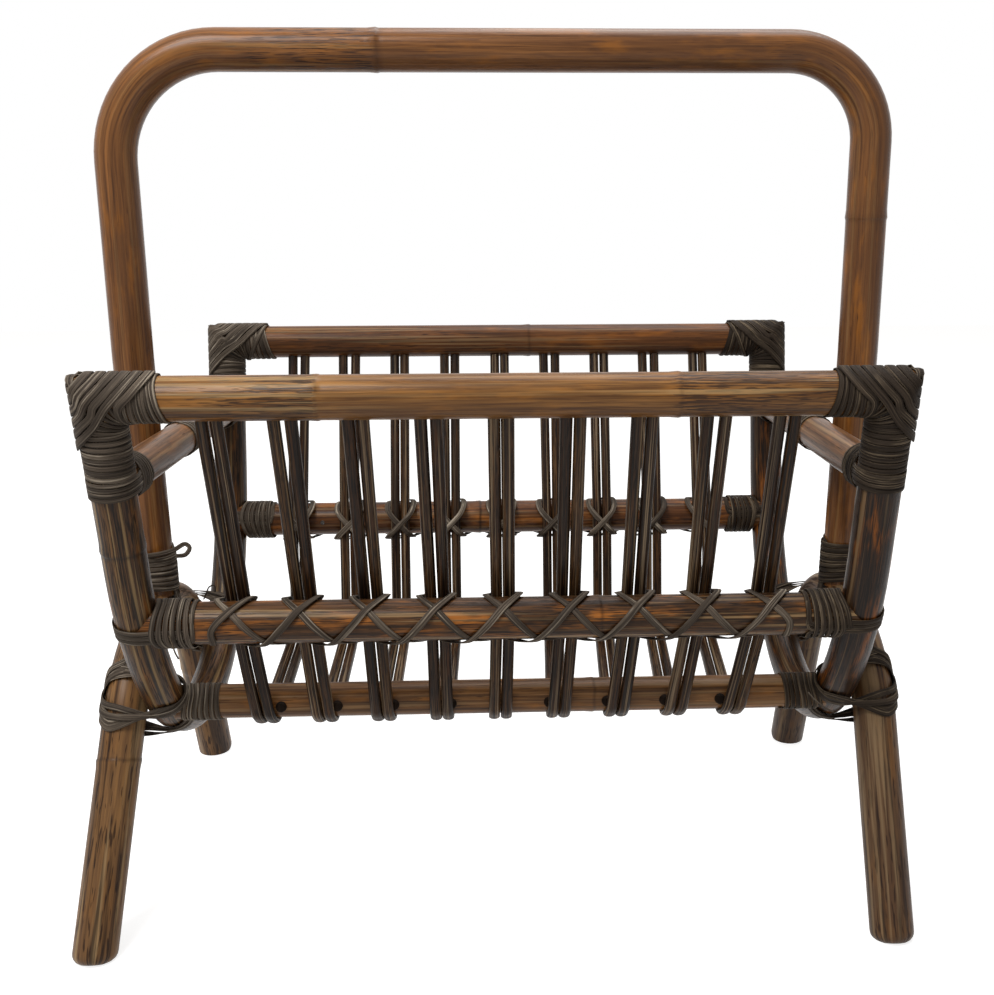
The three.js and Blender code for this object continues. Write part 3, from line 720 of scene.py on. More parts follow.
@dataclass(frozen=True)
class StripFinish:
    """Weathered binding cane: grey-brown, finely ribbed along its length, with bleached ribs."""

    name: str
    base: str
    deep: str
    pale: str
    pale_share: float = 0.8
    roughness: float = 0.62
    seed: float = 0.0
    relief: float = 0.9
    relief_depth: float = 0.0008
    sheen: float = 0.08

    def make(self) -> Material:
        """Builds the material.

        Returns:
            The material.
        """
        g = Graph(bpy.data.materials.new(self.name))
        grain = g.grain()
        rib, fibre, patch, stretch = (
            g.noise(grain, pattern, self.seed)
            for pattern in (STRIP_RIB, STRIP_FIBRE, STRIP_PATCH, STRIP_STRETCH)
        )
        deep = linear(self.deep)
        body = g.blend(g.step(fibre, 0.25, 0.75), deep, linear(self.base))
        body = g.blend(g.product(g.step(stretch, 0.4, 0.62), 0.5), body, deep)
        body = g.blend(g.product(g.step(rib, 0.5, 0.36), 0.75), body, deep)
        pale = g.product(g.step(rib, 0.52, 0.64), g.step(patch, 0.36, 0.62))
        body = g.blend(g.product(pale, self.pale_share), body, linear(self.pale))
        height = g.math("ADD", rib, g.product(fibre, 0.4))
        bump = g.node("Bump", Strength=self.relief, Distance=self.relief_depth, Height=height)
        shader = g.node(
            "BsdfPrincipled",
            Base_Color=body,
            Roughness=g.math("ADD", g.product(fibre, 0.25), self.roughness - 0.12),
            Normal=bump.outputs[0],
            Specular_IOR_Level=self.sheen,
        )
        g.node("OutputMaterial", Surface=shader.outputs[0])
        return g.owner


@dataclass(frozen=True)
class MetalFinish:
    """Dull steel of a small nail."""

    name: str
    colour: str = "6f6a66"
    tarnish: str = "2e2a28"
    shine: float = 0.8
    roughness: float = 0.42

    def make(self) -> Material:
        """Builds the material.

        Returns:
            The material.
        """
        g = Graph(bpy.data.materials.new(self.name))
        dull = g.noise(g.grain(), TARNISH)
        body = g.blend(g.step(dull, 0.35, 0.65), linear(self.tarnish), linear(self.colour))
        shader = g.node(
            "BsdfPrincipled", Base_Color=body, Metallic=self.shine, Roughness=self.roughness
        )
        g.node("OutputMaterial", Surface=shader.outputs[0])
        return g.owner


def deselect() -> None:
    """Leaves edit mode and deselects everything."""
    if bpy.context.object and bpy.context.object.mode != "OBJECT":
        bpy.ops.object.mode_set(mode="OBJECT")
    bpy.ops.object.select_all(action="DESELECT")


def settle(
    piece: bpy.types.Object, finish: Material, nodes: Sequence[str]
) -> None:
    """Gives a finished piece its material and its place in the model.

    Args:
        piece: the finished mesh object.
        finish: its material.
        nodes: the CAD nodes that it stands for.
    """
    piece.data.materials.clear()
    piece.data.materials.append(finish)
    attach(piece, BODY)
    if nodes:
        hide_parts(*nodes)
    LOG.info("%s: %d faces", piece.name, len(piece.data.polygons))


def copied(model: bpy.types.Object, name: str) -> bpy.types.Object:
    """Copies a piece that repeats, with a mesh of its own.

    Args:
        model: the piece that is copied.
        name: the copy's name.

    Returns:
        The copy.
    """
    piece = model.copy()
    piece.data = model.data.copy()
    piece.name = piece.data.name = name
    bpy.context.collection.objects.link(piece)
    return piece


def bevel(piece: bpy.types.Object, width: float, segments: int) -> None:
    """Rounds the edges of the active piece.

    Args:
        piece: the piece.
        width: how far the rounding reaches.
        segments: how many faces it has across.
    """
    bpy.ops.object.modifier_add(type="BEVEL")
    rounding = piece.modifiers[0]
    rounding.width = width
    rounding.segments = segments
    bpy.ops.object.modifier_apply(modifier=rounding.name)


class Pole:
    """A round pole that grows from a circle, extruded on the straight and spun round its bends."""

    short: float = 0.02
    support: float = 0.003
    ring_room: float = 0.012
    ring_lead: float = 0.0085
    ring_steps: tuple[tuple[float, float], ...] = (
        (0.0025, 1.0), (0.005, 1.035), (0.001, 0.985),
        (0.0008, 1 / (1.035 * 0.985)),
        (0.002, 1.0),
    )
    bend_step: float = math.radians(5)
    small_bend: float = 0.05
    least_turn: float = 1e-4

    def __init__(
        self, name: str, start: Vector, direction: Vector, radius: float, sides: int = 32
    ) -> None:
        """Adds the first circle and enters edit mode.

        Args:
            name: the piece's name.
            start: middle of the first circle.
            direction: where the pole goes from there.
            radius: the pole's radius.
            sides: points round the circle.
        """
        deselect()
        bpy.ops.mesh.primitive_circle_add(
            vertices=sides,
            radius=radius,
            location=start,
            rotation=direction.to_track_quat("Z", "Y").to_euler(),
        )
        self.piece = bpy.context.object
        self.piece.name = self.piece.data.name = name.replace("_", "-")
        bpy.ops.object.transform_apply(location=True, rotation=True, scale=True)
        self.at = start.copy()
        self.direction = direction.normalized()
        self.along = 0.0
        layer = self.piece.data.attributes.new(GRAIN, "FLOAT_VECTOR", "POINT")
        for i, item in enumerate(layer.data):
            angle = 2 * math.pi * i / sides
            item.vector = (radius * math.cos(angle), radius * math.sin(angle), 0)
        bpy.ops.object.mode_set(mode="EDIT")
        bpy.ops.mesh.select_all(action="SELECT")

    def mark(self) -> None:
        """Writes the length so far on the newest circle."""
        mesh = bmesh.from_edit_mesh(self.piece.data)
        layer = mesh.verts.layers.float_vector[GRAIN]
        for vertex in mesh.verts:
            if vertex.select:
                old = vertex[layer]
                vertex[layer] = (old[0], old[1], self.along)
        bmesh.update_edit_mesh(self.piece.data)

    def run(self, length: float, swell: float = 1.0) -> Pole:
        """Extrudes the newest circle straight on.

        Args:
            length: how far.
            swell: size of the new circle as a share of the last one.

        Returns:
            The pole itself.
        """
        move = self.direction * length
        bpy.ops.mesh.extrude_region_move(TRANSFORM_OT_translate={"value": move})
        self.at += move
        self.along += length
        if swell != 1.0:
            bpy.ops.transform.resize(value=(swell,) * 3, center_override=self.at)
        self.mark()
        return self

    def runs(self, length: float, rings: Rings = ()) -> Pole:
        """Goes straight on, with a low ridge at each node ring on the way.

        Args:
            length: how far.
            rings: lengths along the whole pole at which a node ring lies.

        Returns:
            The pole itself.
        """
        target = self.along + length
        if length < self.short:
            return self.run(length)
        self.run(self.support)
        for ring in sorted(rings):
            if self.along + self.ring_room < ring < target - self.ring_room:
                self.run(ring - self.ring_lead - self.along)
                for step, swell in self.ring_steps:
                    self.run(step, swell)
        self.run(target - self.support - self.along)
        return self.run(self.support)

    def bend(self, axis: Vector, angle: float, radius: float) -> Pole:
        """Spins the newest circle round a bend.

        Args:
            axis: the bend's axis.
            angle: how far the pole turns about the axis, by the right hand.
            radius: the bend's radius, at the pole's axis.

        Returns:
            The pole itself.
        """
        side = axis.cross(self.direction) * math.copysign(1, angle)
        centre = self.at + side * radius
        steps = max(1, math.ceil(abs(angle) / self.bend_step))
        turn = Matrix.Rotation(angle / steps, 3, axis)
        for _ in range(steps):
            bpy.ops.mesh.spin(steps=1, angle=-angle / steps, center=centre, axis=axis)
            self.at = centre + turn @ (self.at - centre)
            self.direction = turn @ self.direction
            self.along += abs(angle) / steps * radius
            self.mark()
        return self

    def turn_to(self, direction: Vector) -> Pole:
        """Bends the pole a little.

        Args:
            direction: where it points after the bend.

        Returns:
            The pole itself.
        """
        angle = self.direction.angle(direction)
        if angle > self.least_turn:
            axis = self.direction.cross(direction).normalized()
            self.bend(axis, angle, self.small_bend)
        return self

    def cut(self, matrix: Matrix, keep_rail: bool) -> Pole:
        """Bisects the pole on a corner's mitre.

        Args:
            matrix: the corner's frame.
            keep_rail: whether the rail's side stays, and not the post's.

        Returns:
            The pole itself.
        """
        bpy.ops.mesh.select_all(action="SELECT")
        bpy.ops.mesh.bisect(
            plane_co=matrix.translation,
            plane_no=matrix.to_3x3() @ Vector((1, 0, 1)).normalized(),
            use_fill=False,
            clear_inner=keep_rail,
            clear_outer=not keep_rail,
        )
        return self

    def close(self, aside: Callable[[Vector], float] | None = None) -> bpy.types.Object:
        """Closes the ends and finishes the mesh.

        Args:
            aside: gives how far each point moves along X, where the pole isn't flat.

        Returns:
            The finished object.
        """
        bpy.ops.mesh.select_all(action="SELECT")
        bpy.ops.mesh.fill_holes(sides=0)
        bpy.ops.mesh.select_all(action="SELECT")
        bpy.ops.mesh.normals_make_consistent(inside=False)
        bpy.ops.object.mode_set(mode="OBJECT")
        if aside:
            for vertex in self.piece.data.vertices:
                vertex.co.x += aside(vertex.co)
        bpy.ops.object.shade_smooth_by_angle(angle=math.radians(40))
        return self.piece


@dataclass(frozen=True)
class Poles:
    """The thick poles: hoop, end frames, leg frames and rails."""

    plan: Plan
    seat: float = 0.004
    foot_rounding: float = 0.007
    foot_steps: tuple[float, ...] = (0, 20, 40, 60, 75, 90)
    mitre_room: float = 0.018
    rail_seat: float = 0.0024

    def hoop(self, finish: Material) -> None:
        """Bends the carrying hoop, from the left leg frame over the top to the right one.

        Args:
            finish: its material.
        """
        plan = self.plan
        feet = {end: plan.hoop_foot(end) for end in End}
        knees = {end: plan.hoop_knee(end) for end in End}
        up = (knees[End.LEFT] - feet[End.LEFT]).normalized()
        start = feet[End.LEFT] + up * (plan.leg_radius - self.seat)
        pole = Pole("handle_hoop", start, up, plan.handle_radius)
        pole.runs((knees[End.LEFT] - start).length, HOOP_RINGS)
        pole.turn_to(UP)
        left, right = plan.handle_bends
        pole.runs(plan.handle_height - left - knees[End.LEFT].z, HOOP_RINGS)
        pole.bend(BACK, math.pi / 2, left)
        pole.runs(2 * plan.handle_offset - left - right, HOOP_RINGS)
        pole.bend(BACK, math.pi / 2, right)
        pole.runs(plan.handle_height - right - knees[End.RIGHT].z, HOOP_RINGS)
        down = feet[End.RIGHT] - knees[End.RIGHT]
        pole.turn_to(down.normalized())
        pole.runs(down.length - plan.leg_radius + self.seat, HOOP_RINGS)
        settle(pole.close(), finish, ["handle_hoop"])

    def end_frame(self, end: End, finish: Material) -> None:
        """Bends an end frame from its front corner down, under the trough and up to the rear one.

        Args:
            end: which end frame.
            finish: its material.
        """
        plan = self.plan
        up = plan.bow_up(plan.rail_height, Face.FRONT)
        start = plan.corner(end, Face.FRONT).translation + up * self.mitre_room
        name = f"{end.word}_end_frame"
        rings = FRAME_RINGS[end]
        pole = Pole(name, start, -up, plan.frame_radius)
        pole.runs(plan.post_length + self.mitre_room, rings)
        wide = plan.post_lean - plan.bow_end
        pole.bend(ACROSS, wide, plan.flank_radius)
        pole.bend(ACROSS, 2 * plan.bow_sweep, plan.bow_radius)
        pole.bend(ACROSS, wide, plan.flank_radius)
        pole.runs(plan.post_length + self.mitre_room, rings)
        for face in Face:
            pole.cut(plan.corner(end, face), keep_rail=False)
        settle(pole.close(), finish, [name])

    def leg_frame(self, end: End, finish: Material) -> None:
        """Bends a leg frame from its front foot over the arch to its rear one, on flat feet.

        Args:
            end: which leg frame.
            finish: its material.
        """
        plan = self.plan
        radius = plan.leg_radius
        reach = (radius - self.foot_rounding) * math.tan(plan.leg_lean)
        spread, height = plan.leg_spot(plan.leg_foot + reach)
        up = Vector((0, math.sin(plan.leg_lean), math.cos(plan.leg_lean)))
        name = f"{end.word}_leg_frame"
        steps = [math.radians(angle) for angle in self.foot_steps]
        sizes = [radius - self.foot_rounding * (1 - math.sin(a)) for a in steps]
        rises = [self.foot_rounding * (1 - math.cos(a)) for a in steps]
        rounded = list(zip(sizes, rises))
        pole = Pole(name, Vector((0, -spread, height)), up, sizes[0])
        for (size, rise), (above, top) in zip(rounded, rounded[1:]):
            pole.run(top - rise, above / size)
        leg = plan.leg_foot + reach - plan.leg_bend * plan.arch_sweep
        pole.runs(leg - self.foot_rounding, LEG_RINGS[end])
        pole.bend(ACROSS, -2 * plan.arch_sweep, plan.leg_bend)
        pole.runs(leg - self.foot_rounding, LEG_RINGS[end])
        for (size, rise), (below, bottom) in zip(rounded[::-1], rounded[-2::-1]):
            pole.run(rise - bottom, below / size)
        bpy.ops.mesh.select_all(action="SELECT")
        bpy.ops.mesh.bisect(plane_co=(0, 0, 0), plane_no=UP, clear_inner=True)
        piece = pole.close(lambda co: plan.leg_aside(end, co.y, co.z))
        settle(piece, finish, [name])

    def top_rail(self, face: Face, finish: Material) -> None:
        """Makes a top rail, mitred on to both posts.

        Args:
            face: which top rail.
            finish: its material.
        """
        plan = self.plan
        start = plan.corner(End.LEFT, face).translation - ACROSS * self.mitre_room
        name = f"{face.word}_top_rail"
        pole = Pole(name, start, ACROSS, plan.frame_radius)
        pole.runs(2 * (plan.end_offset + self.mitre_room), TOP_RINGS[face])
        for end in End:
            pole.cut(plan.corner(end, face), keep_rail=True)
        settle(pole.close(), finish, [name])

    def straight(
        self,
        name: str,
        start: Vector,
        stop: Vector,
        radius: float,
        finish: Material,
        rings: Rings,
    ) -> None:
        """Makes a straight rail whose ends go into the poles that it meets.

        Args:
            name: the CAD node's name.
            start: where its axis meets the first pole's axis.
            stop: where it meets the other's.
            radius: the rail's radius.
            finish: its material.
            rings: places of its node rings.
        """
        way = (stop - start).normalized()
        pole = Pole(name, start + way * self.rail_seat, way, radius)
        pole.runs((stop - start).length - 2 * self.rail_seat, rings)
        settle(pole.close(), finish, [name])

    def build(self, shop: Finishes) -> None:
        """Makes every thick pole.

        Args:
            shop: the finishes.
        """
        plan = self.plan
        self.hoop(shop.hoop)
        for end in End:
            self.end_frame(end, shop.posts[end])
            self.leg_frame(end, shop.legs[end])
            x = end.value * plan.end_offset
            self.straight(
                f"{end.word}_cross_rail",
                Vector((x, -plan.cross_spread, plan.cross_height)),
                Vector((x, plan.cross_spread, plan.cross_height)),
                plan.cross_radius,
                shop.cross,
                CROSS_RINGS,
            )
        for face in Face:
            self.top_rail(face, shop.top[face])
            for word, spread, height, radius, finish in (
                ("mid", plan.mid_spread, plan.mid_height, plan.mid_radius, shop.mid[face]),
                ("bottom", plan.bottom_spread, plan.bottom_height, plan.bottom_radius, shop.bottom),
            ):
                self.straight(
                    f"{face.word}_{word}_rail",
                    Vector((-plan.end_offset, face.value * spread, height)),
                    Vector((plan.end_offset, face.value * spread, height)),
                    radius,
                    finish,
                    LOWER_RINGS[face],
                )


@dataclass(frozen=True)
class Canes:
    """The trough's eighteen thin canes, in nine pairs."""

    plan: Plan
    sides: int = 14
    seat: float = 0.006
    knee_bend: float = 0.06
    grain_shift: float = 0.73
    pressed_share: float = 0.5
    pressed_from: float = -5.0
    pressed_to: float = 150.0
    pressed_fade: float = 45.0
    pressed_depth: float = 0.0075

    def angles(self) -> tuple[float, float, float]:
        """Works out one side of a cane's path below the mid rail, seen from the basket's end.

        Returns:
            The lower part's angle from upright, leaning in on the way down, and the lengths
            from the rail to the knee and from the knee to the turn.
        """
        plan = self.plan
        inward = plan.cane_knee - plan.bottom_spread
        drop = plan.mid_height - plan.bottom_height
        reach = math.hypot(inward, drop)
        lower = math.atan2(inward, drop) - math.asin(plan.cane_turn / reach)
        rise = plan.rail_height - plan.mid_height
        first = math.hypot(plan.rail_spread - plan.cane_knee, rise)
        return lower, first, math.sqrt(reach**2 - plan.cane_turn**2)

    def model(self) -> bpy.types.Object:
        """Bends one cane in the middle plane, from the front top rail to the rear one.

        Returns:
            The cane, pressed flat under the bottom rails.
        """
        plan = self.plan
        upper = plan.cane_lean
        lower, first, second = self.angles()
        turned = upper - lower
        short = self.knee_bend * math.tan(abs(turned) / 2)
        seat = plan.frame_radius - self.seat
        down = Vector((0, math.sin(upper), -math.cos(upper)))
        rail = Vector((0, -plan.rail_spread, plan.rail_height))
        pole = Pole("cane", rail + down * seat, down, plan.cane_radius, self.sides)

        def split(length: float, parts: int) -> None:
            """Goes straight on in equal parts."""
            for _ in range(parts):
                pole.run(length / parts)

        quarter = math.pi / 2 - lower
        split(first - seat - short, 6)
        pole.bend(ACROSS, -turned, self.knee_bend)
        split(second - short, 3)
        pole.bend(ACROSS, quarter, plan.cane_turn)
        split(2 * plan.bottom_spread, 6)
        pole.bend(ACROSS, quarter, plan.cane_turn)
        split(second - short, 3)
        pole.bend(ACROSS, -turned, self.knee_bend)
        split(first - seat - short, 6)
        piece = pole.close()
        for vertex in piece.data.vertices:
            vertex.co = self.pressed(vertex.co)
        return piece

    def pressed(self, place: Vector) -> Vector:
        """Presses a cane's point flat against the bottom rail that the cane passes under.

        Args:
            place: the point in the middle plane.

        Returns:
            The point, moved nearer to the rail if it is close under it.
        """
        plan = self.plan
        middle = Vector((0, math.copysign(plan.bottom_spread, place.y), plan.bottom_height))
        away = Vector((0, place.y - middle.y, place.z - middle.z))
        floor = plan.bottom_radius + plan.cane_clearance
        depth = away.length - floor
        if place.z > plan.bottom_height or not 0 < depth < self.pressed_depth:
            return place
        turned = math.degrees(math.atan2(-away.z, away.y * math.copysign(1, place.y)))
        share = clamp((turned - self.pressed_from) / self.pressed_fade)
        share *= clamp((self.pressed_to - turned) / self.pressed_fade)
        near = middle + away.normalized() * (floor + depth * (1 - self.pressed_share * share))
        return Vector((place.x, near.y, near.z))

    def aside(self, pair: int, side: int, place: Vector) -> float:
        """How far a cane's point moves along X.

        Args:
            pair: the pair's number.
            side: -1 for the left cane of the pair and 1 for the right one.
            place: the point in the middle plane.

        Returns:
            The move in metres.
        """
        plan = self.plan
        openings = plan.front_openings if place.y < 0 else plan.rear_openings
        high = (place.z - plan.mid_height) / (plan.rail_height - plan.mid_height)
        gap = plan.cane_gap + plan.widest_opening * openings[pair] * max(0.0, high)
        middle = plan.pair_offset(pair, place.y, place.z)
        return middle + side * (plan.cane_radius + gap / 2)

    def build(self, finishes: Sequence[Material]) -> None:
        """Makes one cane, and copies it into its eighteen places.

        Args:
            finishes: the canes' materials.
        """
        model = self.model()
        for pair in range(self.plan.pair_count):
            for side, word in ((-1, "left"), (1, "right")):
                name = f"cane_{pair + 1}_{word}"
                piece = copied(model, name.replace("_", "-"))
                number = 2 * pair + (side > 0)
                flip = -1 if number % 3 == 1 else 1
                for vertex in piece.data.vertices:
                    vertex.co.x += self.aside(pair, side, vertex.co)
                for item in piece.data.attributes[GRAIN].data:
                    old = item.vector
                    along = flip * old[2] + self.grain_shift * number
                    item.vector = (old[0], old[1] * flip, along)
                settle(piece, finishes[number * 7 % len(finishes)], [name])
        bpy.data.objects.remove(model)


@dataclass(frozen=True)
class Spot:
    """A place of a strip's underside, with the direction away from the pole under it."""

    at: Vector
    out: Vector
    width: float = 0.0


def on_pole(
    origin: Vector,
    along: Vector,
    u: Vector,
    v: Vector,
    radius: float,
    angle: float,
    distance: float,
    width: float = 0.0,
) -> Spot:
    """A spot on a round pole.

    Args:
        origin: a point of the pole's axis.
        along: the axis's direction.
        u: the direction at angle 0.
        v: the direction at a quarter turn.
        radius: how far the spot is from the axis.
        angle: how far round the pole.
        distance: how far along the pole.
        width: the strip's width there, or 0 for the usual one.

    Returns:
        The spot.
    """
    out = u * math.cos(angle) + v * math.sin(angle)
    return Spot(origin + along * distance + out * radius, out, width)


@dataclass
class Strip:
    """A flat strip of split cane with a rounded back, laid along spots."""

    name: str
    spots: list[Spot]
    width: float
    thickness: float
    step: float = 0.0028
    wander: float = 0.00016
    number: int = 0
    narrowest: float = 0.9
    widest: float = 1.06
    grain_shift: float = 0.31
    back: tuple[tuple[float, float], ...] = (
        (-0.5, 0.3), (-0.42, 0.82), (-0.18, 1.0), (0.18, 0.97), (0.42, 0.8), (0.5, 0.3),
        (0.4, 0.0), (-0.4, 0.0),
    )

    def smooth(self) -> tuple[np.ndarray, np.ndarray, np.ndarray]:
        """Rounds the line through the spots and divides it evenly.

        Returns:
            Points, outward directions and widths of the stations.
        """
        at = np.array([spot.at for spot in self.spots])
        out = np.array([spot.out for spot in self.spots])
        wide = np.array([spot.width or self.width for spot in self.spots])
        random = np.random.default_rng(self.number)
        at = at + out * random.uniform(0, self.wander, (len(at), 1))
        wide = wide * random.uniform(self.narrowest, self.widest, len(wide))
        ends = (2 * at[:1] - at[1:2], 2 * at[-1:] - at[-2:-1])
        line = np.vstack([ends[0], at, ends[1]])
        points, outs, widths = [], [], []
        for i in range(len(at) - 1):
            four = line[i : i + 4]
            span = np.sqrt(np.maximum(np.linalg.norm(np.diff(four, axis=0), axis=1), 1e-6))
            t = np.concatenate([[0], np.cumsum(span)])
            count = max(1, round(float(np.linalg.norm(four[2] - four[1])) / self.step))
            for k in range(count + (i == len(at) - 2)):
                share = k / count
                x = t[1] + (t[2] - t[1]) * share
                a = [
                    four[j] * (t[j + 1] - x) / (t[j + 1] - t[j])
                    + four[j + 1] * (x - t[j]) / (t[j + 1] - t[j])
                    for j in range(3)
                ]
                b = [
                    a[j] * (t[j + 2] - x) / (t[j + 2] - t[j])
                    + a[j + 1] * (x - t[j]) / (t[j + 2] - t[j])
                    for j in range(2)
                ]
                points.append((b[0] * (t[2] - x) + b[1] * (x - t[1])) / (t[2] - t[1]))
                outs.append(out[i] * (1 - share) + out[i + 1] * share)
                widths.append(wide[i] * (1 - share) + wide[i + 1] * share)
        return np.array(points), np.array(outs), np.array(widths)

    def build(self, finish: Material, node: str | None = None) -> None:
        """Makes the strip's mesh, closed at both ends.

        Args:
            finish: its material.
            node: the CAD node that it stands for, if any.
        """
        points, outs, widths = self.smooth()
        ways = np.gradient(points, axis=0)
        ways /= np.linalg.norm(ways, axis=1)[:, None]
        outs -= ways * (outs * ways).sum(1)[:, None]
        outs /= np.linalg.norm(outs, axis=1)[:, None]
        sides = np.cross(ways, outs)
        parts = np.linalg.norm(np.diff(points, axis=0), axis=1)
        lengths = np.concatenate([[0], np.cumsum(parts)]) + self.grain_shift * self.number
        profile = np.array(self.back)
        count, corners = len(points), len(profile)
        across = profile[None, :, 0] * widths[:, None]
        thick = np.broadcast_to(profile[None, :, 1] * self.thickness, across.shape)
        rings = (
            points[:, None, :]
            + sides[:, None, :] * across[:, :, None]
            + outs[:, None, :] * thick[:, :, None]
        )
        last = (count - 1) * corners
        faces = [
            (i + j, i + (j + 1) % corners, i + corners + (j + 1) % corners, i + corners + j)
            for i in range(0, last, corners)
            for j in range(corners)
        ]
        faces += [tuple(range(corners))[::-1], tuple(range(last, last + corners))]
        name = self.name.replace("_", "-")
        mesh = bpy.data.meshes.new(name)
        mesh.from_pydata(rings.reshape(-1, 3).tolist(), [], faces)
        grain = mesh.attributes.new(GRAIN, "FLOAT_VECTOR", "POINT")
        along = np.broadcast_to(lengths[:, None], across.shape)
        values = np.stack([across, thick, along], axis=2)
        grain.data.foreach_set("vector", values.reshape(-1).astype(np.float32))
        piece = bpy.data.objects.new(name, mesh)
        bpy.context.collection.objects.link(piece)
        work = bmesh.new()
        work.from_mesh(mesh)
        bmesh.ops.recalc_face_normals(work, faces=work.faces)
        work.to_mesh(mesh)
        work.free()
        mesh.polygons.foreach_set("use_smooth", [True] * len(mesh.polygons))
        settle(piece, finish, [node] if node else [])


@dataclass(frozen=True)
class ButtJoint:
    """A rail's end on a post, as its binding needs it."""

    origin: Vector
    into: Vector
    post: Vector
    rail_radius: float
    post_radius: float
    turns: int
    strands: int
    width: float = 0.0032
    saddle: float = 0.004
    sink: float = 0.0004
    strand_lift: float = 0.0003
    strand_end: float = 0.3


@dataclass(frozen=True)
class CornerWrap:
    """A corner's binding in the corner's own frame: turns, a fan and slanting turns over them."""

    inner: float
    outer: float
    pitch: float
    thickness: float
    post_turns: int = 7
    fan_turns: int = 8
    rail_turns: int = 5
    slanted: int = 6
    eighths: int = 8
    lead: int = 6
    fan_base: float = 0.0044
    fan_widths: tuple[float, float] = (0.0015, 0.0056)
    fan_fill: float = 0.95
    rail_slant: float = -0.0035
    first: float = -0.0098
    last: float = 0.0168
    way_back: int = 5
    back_reach: float = 0.002
    back_tuck: float = 0.0025

    @property
    def base(self) -> float:
        """From the corner's middle to where the straight turns begin."""
        return self.inner + self.fan_base

    def on_rail(self, radius: float, angle: float, x: float, width: float = 0.0) -> Spot:
        """A spot round the rail, from its upper side on."""
        return on_pole(Vector(), ACROSS, UP, BACK, radius, angle, x, width)

    def on_post(self, radius: float, angle: float, z: float, width: float = 0.0) -> Spot:
        """A spot round the post, from its outer side on."""
        return on_pole(Vector(), UP, -ACROSS, BACK, radius, angle, z, width)

    def turned(self) -> list[Spot]:
        """The turns round the post, in the fan round the corner's inside and round the rail.

        Returns:
            The spots, from the post's lowest turn on.
        """
        fan_step = math.pi / 2 / self.fan_turns
        narrowest, widest = self.fan_widths
        turns = self.post_turns + self.fan_turns + self.rail_turns
        spots = []
        for step in range(-self.lead, turns * self.eighths + 1):
            fan = step / self.eighths - self.post_turns
            angle = 2 * math.pi * step / self.eighths
            reach = self.base + self.inner * math.cos(angle)
            width = min(widest, max(narrowest, reach * fan_step * self.fan_fill))
            if fan < 0:
                spots.append(self.on_post(self.inner, angle, fan * self.pitch - self.base))
            elif fan > self.fan_turns:
                share = (fan - self.fan_turns) / self.rail_turns
                slant = self.rail_slant * share * math.cos(angle)
                x = self.base + share * self.rail_turns * self.pitch + slant
                spots.append(self.on_rail(self.inner, angle, x))
            elif 2 * fan < self.fan_turns:
                z = reach * math.tan(fan * fan_step) - self.base
                spots.append(self.on_post(self.inner, angle, z, width))
            else:
                x = self.base - reach / math.tan(fan * fan_step)
                spots.append(self.on_rail(self.inner, angle, x, width))
        return spots

    def returned(self) -> list[Spot]:
        """The strip's way back over the rail's turns, behind and below.

        Returns:
            The spots, from the last turn to the corner's point.
        """
        end = self.base + self.rail_turns * self.pitch
        spots = []
        for step in range(1, self.way_back + 1):
            last = step == self.way_back
            share = clamp(step / (self.way_back - 1))
            x = mix(end, self.outer + self.back_reach, share) - self.back_tuck * last
            radius = self.inner + self.thickness * (not last)
            spots.append(self.on_rail(radius, step * EIGHTH, x))
        return spots

    def slanting(self, turn: int, post: bool) -> list[Spot]:
        """Half of a slanting turn over the corner's point.

        Args:
            turn: the turn's number.
            post: whether this half lies on the post, and not on the rail.

        Returns:
            The spots, from one edge of the mitre to the other.
        """
        pitch = (self.last - self.first) / self.slanted * math.sqrt(2)
        depth = mix(self.first, self.last, (turn + (0.5 if post else 0)) / self.slanted)
        slope = depth * math.sqrt(2)
        limit = math.acos(clamp(depth / (math.sqrt(2) * self.outer)))
        spots = []
        for step in range(-4, 5):
            angle = (-1 if post else 1) * limit * step / 4.0
            flat = self.outer * math.cos(angle)
            wide = pitch / math.hypot(1, math.sin(angle))
            if post:
                spot = self.on_post(self.outer, angle, slope - flat, wide)
            else:
                spot = self.on_rail(self.outer, angle, flat - slope, wide)
            if abs(step) == 4 and depth > 0:
                if step == 4:
                    continue
                tilt = Vector((-0.5, 0, 0.5)) * (1 - abs(math.sin(angle)))
                out = Vector((0, math.sin(angle), 0)) + tilt
                spot = Spot(spot.at, out.normalized(), wide)
            spots.append(spot)
        return spots

    def spots(self) -> list[Spot]:
        """The whole binding.

        Returns:
            The spots, from the post's lowest turn to the last slanting one.
        """
        spots = self.turned() + self.returned()
        for turn in range(self.slanted):
            spots += self.slanting(turn, post=False) + self.slanting(turn, post=True)
        return spots


